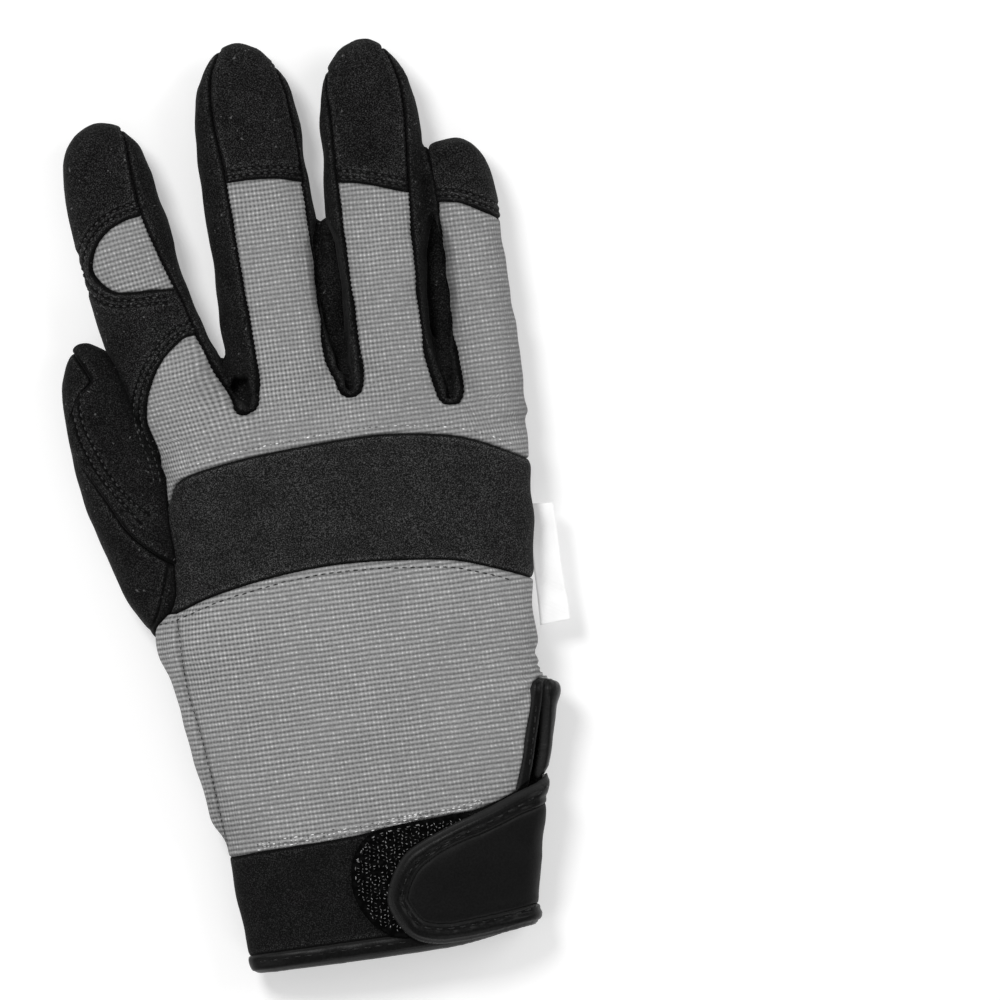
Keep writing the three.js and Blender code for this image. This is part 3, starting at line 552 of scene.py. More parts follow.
def press_folds(points):
    """Presses the skin down into the folds between the fingers."""
    points = points.copy()
    for fold in FOLDS:
        line = smooth_line(fold)
        away, share = line_distance(line[:, :2])(points)
        floor = np.interp(share, np.linspace(0, 1, len(line)), line[:, 2])
        half = np.interp(share, (0, 0.3, 0.8, 1), (0.6, 2.0, 1.5, -1.2))
        lip = floor + 3.2 * np.maximum(0, away - half) ** 1.15
        upper = points[:, 2] > 7
        points[:, 2] = np.where(upper & (away < 7), np.minimum(points[:, 2], lip), points[:, 2])
    return points


def settle(points, faces, seed, inset):
    """Evens the skin, lets it sag a little, and draws it in to leave room for the cloth."""
    points = relax(points, faces, 14)
    points = relax(press_folds(points), faces, 2)
    normal = normals_of(points, faces)
    sag = 0.22 * waves(points, 22, seed) + 0.10 * waves(points, 9, seed + 1) - inset
    points = points + normal * sag[:, None]
    points[:, 2] = np.maximum(points[:, 2], 0)
    return points


hand_points = settle(hand_points, hand_faces, 3, 0.55)
thumb_points = settle(thumb_points, thumb_faces, 5, 0.9)
hand_tree = BVHTree.FromPolygons(hand_points.tolist(), hand_faces.tolist())
thumb_tree = BVHTree.FromPolygons(thumb_points.tolist(), thumb_faces.tolist())


def outside(tree, clear):
    """Distance outside a closed skin, less the clearance; negative inside it."""
    up = Vector((0.03, 0.02, 1.0)).normalized()

    def distance(points):
        out = np.empty(len(points))
        for i, p in enumerate(points.tolist()):
            gap = tree.find_nearest(p)[3]
            _, normal, _, _ = tree.ray_cast(p, up)
            # from within, the first face met on the way up is seen from its back
            out[i] = -gap if normal is not None and normal.dot(up) > 0 else gap
        return out - clear
    return distance


def negative(function):
    return lambda points: -function(points)


def above(height):
    return lambda points: height - points[:, 2]


def inside_mouth(points):
    return cuff_rise(points[:, 0]) + 1.0 - points[:, 1]


def cuff_rim(points):
    return points[:, 1] - cuff_rise(points[:, 0]) - 5.3


hook_line = smooth_line([(-9.8, 21), (-8.8, 27), (-5, 32.3), (-0.6, 34.4), (6, 35.2), (14.4, 35.6),
                         (23.2, 35.4), (28.5, 31), (30, 22), (27, 11), (18, 5.4), (8, 4.4), (0.5, 5.0),
                         (-4.3, 8), (-8, 13), (-9.6, 18), (-9.8, 21)])


def toothed(distance):
    """The ribs of the knit end in small teeth along a seam."""
    return lambda points: distance(points) + 0.13 * np.cos(points[:, 1] * 2 * np.pi / KNIT_ROW)


PLAN = {
    "cuff": plan_distance(below_line(CUFF_TOP)),
    "cuff_side": plan_distance(cuff_side_outline),
    "slit": plan_distance(slit_outline),
    "vent": plan_distance(vent_outline),
    **{name: toothed(plan_distance(gusset_outline(name))) for name in GUSSETS},
    **{f"{name}_tip": plan_distance(beyond_cap(name)) for name in CAP_EDGES},
    "index_insert": plan_distance(smooth_line(seam("index", WINDOW_EDGE))),
    "index_patch": plan_distance(patch_outline),
    "knuckle_band": plan_distance(band_outline),
    "wrist_panel": plan_distance(below_line(BAND_BOTTOM)),
    "hook": plan_distance(hook_line),
    "strap": plan_distance(strap_outline),
    "thumb": plan_distance(thumb_outline),
}


def refine_near(skin, functions, reach, longest):
    near = np.full(len(skin.data), 1e9)
    for function in functions:
        near = np.minimum(near, np.abs(function(skin.data[:, :3])))
    edges = unique_edges(skin.tris)
    close = np.minimum(near[edges[:, 0]], near[edges[:, 1]]) < reach
    size = np.linalg.norm(skin.data[edges[:, 0], :3] - skin.data[edges[:, 1], :3], axis=1)
    skin.halve(edges[close & (size > longest)])


body = Skin(hand_points, hand_faces)
thumb = Skin(thumb_points, thumb_faces)


def only_above(function, height):
    return lambda points: np.where(points[:, 2] > height, function(points), 9.0)


body_lines = [above(SIDE_SEAM), inside_mouth, cuff_rim, PLAN["cuff"], only_above(PLAN["strap"], 2.5)]
body_lines += [only_above(PLAN[key], 7) for key in PLAN if key not in ("thumb", "cuff", "cuff_side", "strap")]
thumb_lines = [above(THUMB_SEAM_HEIGHT), only_above(PLAN["thumb"], 4.5)]


def row_distance(line, height=9):
    away = line_distance(line)
    return lambda points: np.where(points[:, 2] > height, away(points)[0], 9.0)


for name, rows in DARK_LINES.items():
    lines = thumb_lines if name.startswith("thumb") else body_lines
    lines.extend(row_distance(line, 6 if name == "thumb_front" else 9) for line in rows)
body_lines.append(row_distance(STRAP_ROW))
for skin, lines in ((body, body_lines), (thumb, thumb_lines)):
    refine_near(skin, lines, 1.7, 0.8)
    # all but the low side seams, which come first
    refine_near(skin, lines[1:], 0.85, 0.45)

# Panels, cut one after another

panels = {}
whole = body.tris
shell, _ = body.split(whole, inside_mouth)
passage, shell = body.split(shell, lambda p: np.maximum(outside(thumb_tree, -2.6)(p), p[:, 1] - 122))
cuff, rest = body.split(shell, PLAN["cuff"])
panels["cuff_binding"], cuff = body.split(cuff, cuff_rim)


def cut_slit(tris):
    upper, lower = body.split(tris, above(SIDE_SEAM))
    _, upper = body.split(upper, PLAN["slit"])
    return np.vstack([upper, lower])


panels["cuff_binding"] = cut_slit(panels["cuff_binding"])
upper, lower = body.split(cuff, above(SIDE_SEAM))
_, upper = body.split(upper, PLAN["slit"])
panels["cuff_back"], side = body.split(upper, PLAN["cuff_side"])
panels["cuff_palm"] = np.vstack([lower, side])
back, panels["palm_panel"] = body.split(rest, above(SIDE_SEAM))
panels["vent_binding"], back = body.split(back, PLAN["vent"])
_, panels["vent_binding"] = body.split(panels["vent_binding"], PLAN["slit"])
for name in (*GUSSETS, "middle_tip", "little_tip", "ring_tip", "index_insert", "index_patch",
             "knuckle_band", "wrist_panel"):
    panels[name], back = body.split(back, PLAN[name])
panels["back_panel"] = back

free_thumb, _ = thumb.split(thumb.tris, negative(outside(hand_tree, 0.3)))
upper, lower = thumb.split(free_thumb, above(THUMB_SEAM_HEIGHT))
panels["thumb_back"], upper = thumb.split(upper, PLAN["thumb"])
panels["thumb_front"] = np.vstack([lower, upper])

above_low_edge, _ = body.split(whole, above(3.5))
strap, _ = body.split(above_low_edge, PLAN["strap"])
panels["strap_panel"], panels["strap_binding"] = body.split(strap, lambda p: PLAN["strap"](p) + 4.5)
panels["hook_patch"], _ = body.split(above_low_edge, PLAN["hook"])


# Pieces with thickness

def digit_axis(name, y):
    """Where a finger's axis runs and how far it leans at height y in plan."""
    root_across, root_along, length, _, _, lean0, lean1, *_ = DIGITS[name]
    share = np.clip((y - root_along * HAND_LENGTH) / length, 0, 1)
    line = on_digit(name, np.linspace(0, 1, 40), np.zeros(40))
    return np.interp(y, line[:, 1], line[:, 0]), np.radians(lean0 + (lean1 - lean0) * share)


def weave_of(points, name):
    """Coordinates in millimetres across and along the cloth of a panel."""
    x, y, z = points.T
    top = hermite(np.clip(y / HAND_LENGTH, 0, 1.02), HAND_SECTIONS, 3) * HAND_HEIGHT
    if name == "index_insert":
        axis, lean = digit_axis("index", y)
        side = (x - axis) / np.cos(lean)
        return np.stack([side, y + (x - axis) * np.tan(lean), z], 1)
    fingers = np.clip((y - 138) / 20, 0, 1)
    axis, lean = digit_axis("ring", y)
    on_ring = fingers * np.clip((x - 8) / 4, 0, 1) * np.clip((36 - x) / 4, 0, 1)
    on_index = np.clip((y - 99) / 31, 0, 1)
    left = np.maximum(0, -17 - x)
    lean_left = 0.22 * np.clip(y - 130, -31, 32) * np.clip(left / 16, 0, 1)
    top = np.where(y > 0.94 * HAND_LENGTH, FINGER_HEIGHT, top)
    down = np.maximum(0, top - z - 3.0) * np.where(x > 0, 1, -1)
    down = np.where((np.abs(x) > 38) & (y < 150) | (x > 50), down, 0)
    u = x + down * 0.8 - on_ring * (axis - 21.2) + on_index * lean_left
    v = y + on_ring * (x - axis) * np.tan(lean) + on_index * 0.13 * left**2 / (left + 12)
    return np.stack([u, v, z], 1)


def boundary_of(tris):
    directed = np.vstack([tris[:, [0, 1]], tris[:, [1, 2]], tris[:, [2, 0]]])
    key = np.sort(directed, 1)
    _, index, count = np.unique(key, axis=0, return_index=True, return_counts=True)
    return directed[index[count == 1]]


def edge_distance(points, edges, limit=6.0):
    a, b = points[edges[:, 0]], points[edges[:, 1]]
    samples = np.vstack([a, a * 0.67 + b * 0.33, a * 0.33 + b * 0.67])
    tree = KDTree(len(samples))
    for i, s in enumerate(samples.tolist()):
        tree.insert(s, i)
    tree.balance()
    out = np.array([min(tree.find(p)[2], limit) for p in points.tolist()])
    out[edges.ravel()] = 0
    return out


def to_row(points):
    return (points + SHIFT) * MILLIMETRE


def mesh_object(name, points, faces, material, attributes=None, flat=None):
    mesh = bpy.data.meshes.new(name)
    mesh.from_pydata(to_row(points).tolist(), [], faces if isinstance(faces, list) else faces.tolist())
    for key, values in (attributes or {}).items():
        kind = "FLOAT" if values.ndim == 1 else "FLOAT_VECTOR"
        layer = mesh.attributes.new(key, kind, "POINT")
        layer.data.foreach_set("value" if values.ndim == 1 else "vector", values.astype(np.float32).ravel())
    smooth = np.ones(len(mesh.polygons), bool)
    if flat is not None:
        smooth[flat] = False
    mesh.polygons.foreach_set("use_smooth", smooth)
    mesh.materials.append(material)
    mesh.validate()
    obj = bpy.data.objects.new(name, mesh)
    bpy.context.scene.collection.objects.link(obj)
    return obj


surface_points, surface_faces = [], []


def openness(points, neighbour):
    """From 0 in the valley where two skins meet to 1 away from it: the painted shade of that valley."""
    if neighbour is None:
        return np.ones(len(points))
    return np.clip(np.array([neighbour.find_nearest(p)[3] for p in points.tolist()]) / 3.2 - 0.1, 0.03, 1)


def thick_piece(name, skin, material, slot, edge, flat, roll, bottom=-WALL, relief=None, bulge=0.0, low=0.03,
                neighbour=None):
    """A closed piece from a panel.

    Its outer face rises from edge to flat within roll, and its inner face lies at bottom.
    """
    tris = panels[name]
    used, local = np.unique(tris, return_inverse=True)
    tris = local.reshape(-1, 3)
    base, normal = skin.data[used, :3], skin.data[used, 3:6]
    normal = normal / np.linalg.norm(normal, axis=1)[:, None]
    edges = boundary_of(tris)
    distance = edge_distance(base, edges)
    share = np.clip(distance / roll, 0, 1)
    edge = edge(base) if callable(edge) else edge
    rise = edge + (flat - edge) * np.sqrt(1 - (1 - share) ** 2)
    if relief is not None:
        rise = rise + relief(base, distance)
    depth = bottom(base) if callable(bottom) else bottom + np.minimum(rise, 0)
    if callable(bottom):
        sideways = 1 - np.clip(1.3 * normal[:, 2], 0, 1)
        pressed = 1 - 0.58 * sideways * np.clip((base[:, 1] - 22) / 16, 0, 1)
        rise, depth = rise * pressed, depth * pressed
    top = base + normal * rise[:, None]
    under = base + normal * depth[:, None]
    top[:, 2] = np.maximum(top[:, 2], low)
    under[:, 2] = np.maximum(under[:, 2], low + 0.4)
    count = len(base)
    faces = [tris, tris[:, ::-1] + count]
    # distances to the edges and dark lines, which the cloth colours use to paint shade in seams and
    # highlights beside them
    seams = distance
    for line in DARK_LINES.get(name, ()):
        seams = np.minimum(seams, 0.3 + line_distance(line)(base)[0])
    points, seam_distances = [top, under], [seams, np.full(count, 6.0)]
    light = [openness(base, neighbour), np.ones(count)]
    a, b = edges[:, 0], edges[:, 1]
    if bulge:
        along = base[b] - base[a]
        out = np.zeros_like(base)
        way = np.cross(along, normal[a])
        for side in (a, b):
            np.add.at(out, side, way)
        out /= np.maximum(np.linalg.norm(out, axis=1), 1e-9)[:, None]
        rim = np.unique(edges)
        place = np.full(count, -1)
        place[rim] = np.arange(len(rim))
        start, rings = 2 * count, []
        for turn in (0.16, 0.5, 0.84):
            mid = top[rim] * (1 - turn) + under[rim] * turn + out[rim] * bulge * math.sin(math.pi * turn)
            mid[:, 2] = np.maximum(mid[:, 2], low)
            points.append(mid)
            seam_distances.append(np.zeros(len(rim)))
            light.append(np.ones(len(rim)))
            rings.append(place + start)
            start += len(rim)
        rings = [np.arange(count)] + rings + [np.arange(count) + count]
        for upper, lower in zip(rings, rings[1:]):
            faces.append(np.stack([upper[b], upper[a], lower[a]], 1))
            faces.append(np.stack([upper[b], lower[a], lower[b]], 1))
        sharp = None
    else:
        faces.append(np.stack([b, a, a + count], 1))
        faces.append(np.stack([b, a + count, b + count], 1))
        sharp = slice(2 * len(tris), None)
    points = np.vstack(points)
    data = {"weave": weave_of(points, name), "edge": np.concatenate(seam_distances), "open": np.concatenate(light)}
    obj = mesh_object(name + "_cloth", points, np.vstack(faces), material, data, sharp)
    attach(obj, "root")
    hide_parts(name)
    surface_faces.append(tris + sum(len(p) for p in surface_points))
    surface_points.append(top)
    return obj


# Materials

class Nodes:
    """A short way to write a material's nodes."""

    def __init__(self, name, **shader):
        self.material = bpy.data.materials.new(name)
        self.material.use_nodes = True
        self.tree = self.material.node_tree
        self.shader = self.tree.nodes["Principled BSDF"]
        for key, value in shader.items():
            self.shader.inputs[key.replace("_", " ")].default_value = value

    def add(self, kind, inputs=(), out=0, **settings):
        node = self.tree.nodes.new(kind)
        for key, value in settings.items():
            setattr(node, key, value)
        for key, value in dict(inputs).items():
            if isinstance(value, bpy.types.NodeSocket):
                self.tree.links.new(value, node.inputs[key])
            else:
                node.inputs[key].default_value = value
        return node.outputs[out]

    def math(self, operation, a, b=0.0, c=0.0):
        return self.add("ShaderNodeMath", {0: a, 1: b, 2: c}, operation=operation)

    def data(self, name, part=None):
        node = self.tree.nodes.new("ShaderNodeAttribute")
        node.attribute_name = name
        node.attribute_type = "GEOMETRY"
        if part is None:
            return node.outputs["Fac"]
        return self.add("ShaderNodeSeparateXYZ", {0: node.outputs["Vector"]}, out=part)

    def noise(self, scale, detail=2.0, rough=0.5):
        place = self.add("ShaderNodeTexCoord", out=3)
        return self.add("ShaderNodeTexNoise", {"Vector": place, "Scale": scale, "Detail": detail,
                                               "Roughness": rough})

    def ramp(self, value, stops):
        node = self.tree.nodes.new("ShaderNodeValToRGB")
        while len(node.color_ramp.elements) < len(stops):
            node.color_ramp.elements.new(0.5)
        for element, (place, shade) in zip(node.color_ramp.elements, stops):
            element.position = place
            element.color = (shade, shade, shade, 1)
        self.tree.links.new(value, node.inputs[0])
        return node.outputs[0]

    def mix(self, share, a, b):
        return self.add("ShaderNodeMix", {0: share, 2: a, 3: b}, data_type="FLOAT")

    def finish(self, shade=None, rough=None, height=None, strength=1.0, distance=0.0003):
        if shade is not None:
            self.tree.links.new(shade, self.shader.inputs["Base Color"])
        if rough is not None:
            self.tree.links.new(rough, self.shader.inputs["Roughness"])
        if height is not None:
            bump = self.add("ShaderNodeBump", {"Height": height, "Strength": strength, "Distance": distance})
            self.tree.links.new(bump, self.shader.inputs["Normal"])
        return self.material


def grey_knit(name, row, column, ribs, lines):
    """Ribbed stretch cloth: ribs and fainter lines, pale where they cross and dark between them."""
    n = Nodes(name, Roughness=0.85, Sheen_Weight=0.06, Sheen_Roughness=0.5, Specular_IOR_Level=0.2)
    sway = n.math("MULTIPLY_ADD", n.noise(90, 2), 0.6, -0.3)
    v = n.math("ADD", n.data("weave", 1), sway)
    u = n.math("ADD", n.data("weave", 0), n.math("MULTIPLY_ADD", n.noise(110, 2), 0.6, -0.3))
    p = n.math("MULTIPLY_ADD", n.math("COSINE", n.math("MULTIPLY", v, 2 * math.pi / row)), 0.5, 0.5)
    q = n.math("MULTIPLY_ADD", n.math("COSINE", n.math("MULTIPLY", u, 2 * math.pi / column)), 0.5, 0.5)
    faint = n.ramp(n.noise(45, 2, 0.5), [(0.36, 0.45), (0.62, 1.2)])
    # the crossing lines show less towards the little finger
    fading = n.math("MULTIPLY_ADD", n.data("weave", 0), -0.008, 0.85)
    faint = n.math("MULTIPLY", faint, n.math("MAXIMUM", fading, 0.3))
    hollow = n.math("MULTIPLY", n.math("SUBTRACT", 1.0, p), n.math("SUBTRACT", 1.0, q))
    crossing = n.math("POWER", n.math("MULTIPLY", p, q), 2.0)
    bright = n.ramp(n.noise(560, 2, 0.6), [(0.46, 0.0), (0.66, 1.0)])
    shade = n.math("MULTIPLY_ADD", n.math("POWER", p, 0.75), ribs, 0.62)
    shade = n.math("ADD", shade, n.math("MULTIPLY", n.math("MULTIPLY", q, faint), lines))
    shade = n.math("MULTIPLY_ADD", n.math("MULTIPLY", hollow, faint), -0.26, shade)
    shade = n.math("MULTIPLY_ADD", n.math("MULTIPLY", crossing, bright), 1.0, shade)
    # painted shade: darker down the glove's sides, where less light falls, and beside its seams and the wrist
    # fold
    low = n.ramp(n.math("MULTIPLY", n.data("weave", 2), 0.04), [(0.36, 0.60), (0.58, 0.86), (0.78, 1.0)])
    painted_seam_shade = n.ramp(n.math("MULTIPLY", n.data("edge"), 0.5), [(0.05, 0.62), (0.32, 1.0)])
    shade = n.math("MULTIPLY", shade, n.math("MULTIPLY", low, painted_seam_shade))
    patches = n.ramp(n.noise(60, 3, 0.6), [(0.3, 0.95), (0.7, 1.05)])
    grain = n.ramp(n.noise(1900, 2, 0.6), [(0.3, 0.80), (0.7, 1.20)])
    shade = n.math("MULTIPLY", n.math("MULTIPLY", shade, 0.252), n.math("MULTIPLY", patches, grain))
    height = n.math("MULTIPLY_ADD", q, 0.4, p)
    return n.finish(shade, None, height, 0.6, 0.00026)


def grained(n, dark, light, fleck):
    """Dark cloth speckled with lighter grains, with painted shade in a seam and a painted highlight on the
    ridge beside it.
    """
    grain = n.math("MULTIPLY_ADD", n.noise(1500, 2, 0.6), 0.2, n.math("MULTIPLY", n.noise(3100, 1, 0.6), 0.8))
    shade = n.mix(n.ramp(grain, [(0.44, 0.0), (0.55, 0.33), (0.66, 1.0)]), dark, light)
    # painted shade in the seam and a painted highlight on the ridge beside it
    ridge = n.ramp(n.math("MULTIPLY", n.data("edge"), 0.25),
                   [(0.0, 0.1), (0.13, 0.2), (0.25, 1.9), (0.36, 1.5), (0.6, 1.0)])
    patches = n.ramp(n.noise(130, 3), [(0.3, 0.75), (0.7, 1.2)])
    shade = n.math("MULTIPLY", shade, n.math("MULTIPLY", ridge, patches))
    # painted shade in the valley where the thumb and the hand meet
    shade = n.math("MULTIPLY", shade, n.data("open"))
    flecks = n.ramp(n.noise(820, 1, 0.5), [(0.72, 0.0), (0.80, 1.0)])
    return n.math("MULTIPLY_ADD", flecks, fleck, shade), grain


def suede(name, dark=0.0008, light=0.037):
    n = Nodes(name, Sheen_Weight=0.03, Sheen_Roughness=0.4, Specular_IOR_Level=0.10)
    shade, grain = grained(n, dark, light, 0.08)
    nap = n.noise(130, 3, 0.6)
    height = n.math("MULTIPLY_ADD", nap, 0.5, grain)
    return n.finish(shade, n.ramp(nap, [(0.3, 0.95), (0.7, 0.84)]), height, 0.6, 0.00030)


def fine_knit(name, dark=0.004, light=0.052, fleck=0.03):
    """Smooth jersey over foam: tiny loops in close rows."""
    n = Nodes(name, Roughness=0.85, Sheen_Weight=0.04, Sheen_Roughness=0.4, Specular_IOR_Level=0.12)
    u, v = n.data("weave", 0), n.data("weave", 1)
    rows = n.math("COSINE", n.math("MULTIPLY", v, 2 * math.pi / 0.62))
    shifted = n.math("ADD", u, n.math("MULTIPLY", rows, 0.1))
    loops = n.math("COSINE", n.math("MULTIPLY", shifted, 2 * math.pi / 0.54))
    cloth = n.math("MULTIPLY_ADD", n.math("MULTIPLY", rows, loops), 0.5, 0.5)
    shade, grain = grained(n, dark, light, fleck)
    shade = n.math("MULTIPLY", shade, n.math("MULTIPLY_ADD", cloth, 0.4, 0.8))
    height = n.math("MULTIPLY_ADD", grain, 0.8, cloth)
    return n.finish(shade, None, height, 0.45, 0.00022)


def leatherette(name, shade=0.0055, rough=0.42):
    n = Nodes(name, Specular_IOR_Level=0.12)
    grain = n.noise(1900, 3, 0.6)
    soft = n.noise(110, 3, 0.6)
    colour = n.mix(n.ramp(grain, [(0.35, 0.0), (0.65, 1.0)]), shade * 0.4, shade * 1.7)
    # painted highlight: lighter along the piece's edges, where its rolled rims catch the light
    painted_edge_highlight = n.ramp(n.math("MULTIPLY", n.data("edge"), 0.5), [(0.0, 0.016), (0.4, 0.0)])
    colour = n.math("ADD", colour, painted_edge_highlight)
    height = n.math("MULTIPLY_ADD", soft, 0.8, grain)
    return n.finish(colour, n.ramp(soft, [(0.3, rough + 0.08), (0.7, rough - 0.05)]), height, 0.3, 0.00015)


def nylon(name, shade, rough=0.35, sheen=0.0, gloss=0.25):
    n = Nodes(name, Roughness=rough, Sheen_Weight=sheen, Sheen_Roughness=0.3, Specular_IOR_Level=gloss)
    twist = n.noise(2600, 2, 0.6)
    # random unevenness of the thread; on the hooks it also paints glints
    uneven_tone_and_glints = n.ramp(n.noise(700, 1, 0.5), [(0.42, 0.25), (0.64, 2.2)])
    shade = n.math("MULTIPLY", n.mix(twist, shade * 0.6, shade * 1.4), uneven_tone_and_glints)
    return n.finish(shade, None, twist, 0.4, 0.0001)


def satin(name):
    # painted light: the label glows a little, so it stays pale where the glove shades it
    n = Nodes(name, Roughness=0.36, Sheen_Weight=0.1, Sheen_Roughness=0.3, Specular_IOR_Level=0.5,
              Emission_Color=(1, 1, 1, 1), Emission_Strength=0.16)
    weave = n.add("ShaderNodeTexWave", {"Vector": n.add("ShaderNodeTexCoord", out=3), "Scale": 900.0,
                                        "Distortion": 1.5, "Detail": 1.0}, bands_direction="Y")
    soft = n.noise(160, 2, 0.5)
    shade = n.math("MULTIPLY", n.mix(weave, 0.84, 0.95), n.ramp(soft, [(0.3, 0.9), (0.7, 1.04)]))
    return n.finish(shade, n.ramp(soft, [(0.3, 0.30), (0.7, 0.46)]), weave, 0.2, 0.0001)


knit = grey_knit("grey_rib_cloth", 1.345, 1.13, 0.70, 0.10)
finger_knit = grey_knit("grey_finger_cloth", 1.29, 1.10, 0.49, 0.26)
black_suede = suede("black_suede")
palm_suede = suede("palm_suede", 0.0006, 0.030)
# painted shade: a darker copy of the suede for the thumb, which lies in the hand's shade
shaded_thumb_suede = suede("shaded_thumb_suede", 0.0004, 0.025)
black_jersey = fine_knit("black_jersey", 0.002, 0.062)
cuff_jersey = fine_knit("cuff_jersey", 0.0002, 0.021, 0.01)
binding_leather = leatherette("binding_leatherette", 0.0030, 0.36)
strap_leather = leatherette("strap_leatherette", 0.0022, 0.55)
hook_cloth = nylon("hook_tape_ground", 0.0012, 0.9, gloss=0.05)
# painted glints: the black hooks get a pale colour, much brighter on random ones, to stand in for their
# highlights
hook_thread = nylon("hook_tape_hooks", 0.12, 0.22)
piping_thread = nylon("piping_thread", 0.006, 0.35, gloss=0.2)
black_thread = nylon("black_thread", 0.019, 0.40, 0.05)
grey_thread = nylon("grey_thread", 0.42, 0.5, 0.1)
dark_thread = nylon("dark_grey_thread", 0.030, 0.5, 0.1)
white_satin = satin("white_satin")


# Dressed panels

def bump_at(points, centre, size):
    away = (points[:, 0] - centre[0]) ** 2 + (points[:, 1] - centre[1]) ** 2
    return np.exp(-away / size**2)


def puckers(amount, length, depth, seed):
    """Small gathers that run out from the piece's edges."""
    def relief(points, distance):
        return amount * waves(points, length, seed, 4) * np.exp(-distance / depth)
    return relief


def rolled_gusset(name):
    turn = on_hand(GUSSETS[name][4:6])

    def relief(points, distance):
        near = bump_at(points, turn + (0, 6), 19)
        roll = 1.0 * np.sin(np.pi * np.clip(distance / 3.6, 0, 1))
        crumpled = waves(points, 4.5, 37, 4) * np.clip(distance / 3 - 1, 0, 1)
        upper = np.clip((points[:, 2] - 9) / 5, 0, 1)
        soft = 0.18 * waves(points, 7, 31, 4) * np.clip(distance / 3, 0, 1)
        return upper * near * (roll + 0.4 * crumpled) + soft
    return relief


def wrist_relief(points, distance):
    """Creases that fan out from the vent's top, and the folded seam down the thumb's side."""
    x, y = points[:, 0], points[:, 1]
    across, along = 51 - x, y - 71
    away = np.hypot(across, along)
    fan = np.sin(11 * np.arctan2(along, across)) * np.minimum(away / 7, 1) * np.exp(-(away / 12) ** 2)
    line = np.interp(y, WRIST_FOLD[::-1, 1], WRIST_FOLD[::-1, 0])
    reach = np.clip((102 - y) / 6, 0, 1) * np.clip((y - 32) / 5, 0, 1)
    side = x - line
    fold = 0.9 * np.exp(-((side + 1.5) / 0.8) ** 2) - 0.9 * np.exp(-(side / 0.5) ** 2)
    fold -= 0.2 * np.clip((-side - 2.4) / 1.2, 0, 1)
    return 0.7 * fan + fold * reach + puckers(0.18, 7, 5, 41)(points, distance)


def bound_edge(width, height):
    """Half-round relief of a rolled binding."""
    def relief(points, distance):
        return height * np.sqrt(1 - (1 - np.clip(2 * distance / width, 0, 1)) ** 2)
    return relief


def sewn(name, seed):
    """Grooves along a piece's stitch rows, and gathers at its edges."""
    lines = [line_distance(row) for row in STITCH_ROWS[name]]
    gather = puckers(0.12, 6, 4, seed)

    def relief(points, distance):
        groove = sum(np.exp(-(line(points)[0] / 0.5) ** 2) for line in lines)
        return gather(points, distance) - 0.4 * np.minimum(groove, 1)
    return relief


def lapped(name):
    """A cap's lower edge lies on the knit; its side seams are sewn down."""
    away = line_distance(STITCH_ROWS[name][0])
    return lambda points: 0.6 * np.exp(-(away(points)[0] / 1.8) ** 2) - 0.5


def vent_relief(points, distance):
    """The piping flattens where the strap lies over it."""
    return bound_edge(2.8, 0.8)(points, distance) * np.clip(PLAN["strap"](points) / 2, 0, 1)


def strap_relief(points, distance):
    """A rolled rim, drawn in by each stitch."""
    away, share = line_distance(STRAP_ROW)(points)
    drawn = np.exp(-(away / 0.75) ** 2) * (0.75 + 0.25 * np.cos(2 * np.pi * share * 33))
    return bound_edge(4.4, 1.1)(points, distance) - 0.55 * drawn


def thumb_creases(points, distance):
    """The thumb's front folds in where it meets the hand."""
    away, share = line_distance(THUMB_CREASE)(points)
    crease = 0.9 * np.exp(-(away / 0.7) ** 2) * np.clip(4 * np.minimum(share, 1 - share), 0, 1)
    hollow = 1.5 * bump_at(points, (-53.8, 103.5), 2.6)
    return puckers(0.2, 8, 5, 83)(points, distance) - np.where(points[:, 2] > 6, crease + hollow, 0)


knit_parts = dict(edge=-0.3, flat=0.35, roll=1.2)
thick_piece("palm_panel", body, palm_suede, "black_suede", -0.45, 0.15, 1.4)
thick_piece("back_panel", body, finger_knit, "grey_knit", relief=puckers(0.2, 7, 5, 51), **knit_parts)
thick_piece("wrist_panel", body, knit, "grey_knit", relief=wrist_relief, **knit_parts)
thick_piece("index_insert", body, finger_knit, "grey_knit", -0.35, 0.15, 1.8)
band = thick_piece("knuckle_band", body, black_jersey, "black_knit", -0.9, 0.55, 3.0)
thick_piece("index_patch", body, black_suede, "black_suede", 0.0, 0.7, 1.1, relief=sewn("index_patch", 61),
            neighbour=thumb_tree)
for cap in ("middle_tip", "ring_tip", "little_tip"):
    thick_piece(cap, body, black_suede, "black_suede", lapped(cap), 0.65, 1.3, relief=sewn(cap, 71))
for gusset in GUSSETS:
    thick_piece(gusset, body, palm_suede, "black_suede", -0.55, 0.3, 1.4, relief=rolled_gusset(gusset))
thick_piece("thumb_back", thumb, shaded_thumb_suede, "black_suede", 0.35, 1.0, 1.1, relief=sewn("thumb_back", 81),
            neighbour=hand_tree)
thick_piece("thumb_front", thumb, palm_suede, "black_suede", -0.6, 0.15, 1.6, relief=thumb_creases,
            neighbour=hand_tree)
thick_piece("cuff_back", body, cuff_jersey, "black_knit", -0.35, 0.1, 1.6)
thick_piece("cuff_palm", body, palm_suede, "black_suede", -0.35, 0.1, 1.6)
thick_piece("cuff_binding", body, binding_leather, "black_leatherette", -0.1, 0.1, 1.0, bottom=-WALL - 0.6,
            relief=bound_edge(4.3, 0.7), bulge=0.9)
thick_piece("vent_binding", body, binding_leather, "black_leatherette", -0.1, 0.1, 1.0,
            relief=vent_relief, bulge=0.8)


def under_strap(points):
    """The strap lies on the cuff, and on the hook patch where that is."""
    return 0.9 + 0.8 * np.clip((1.5 - PLAN["hook"](points)) / 1.5, 0, 1)


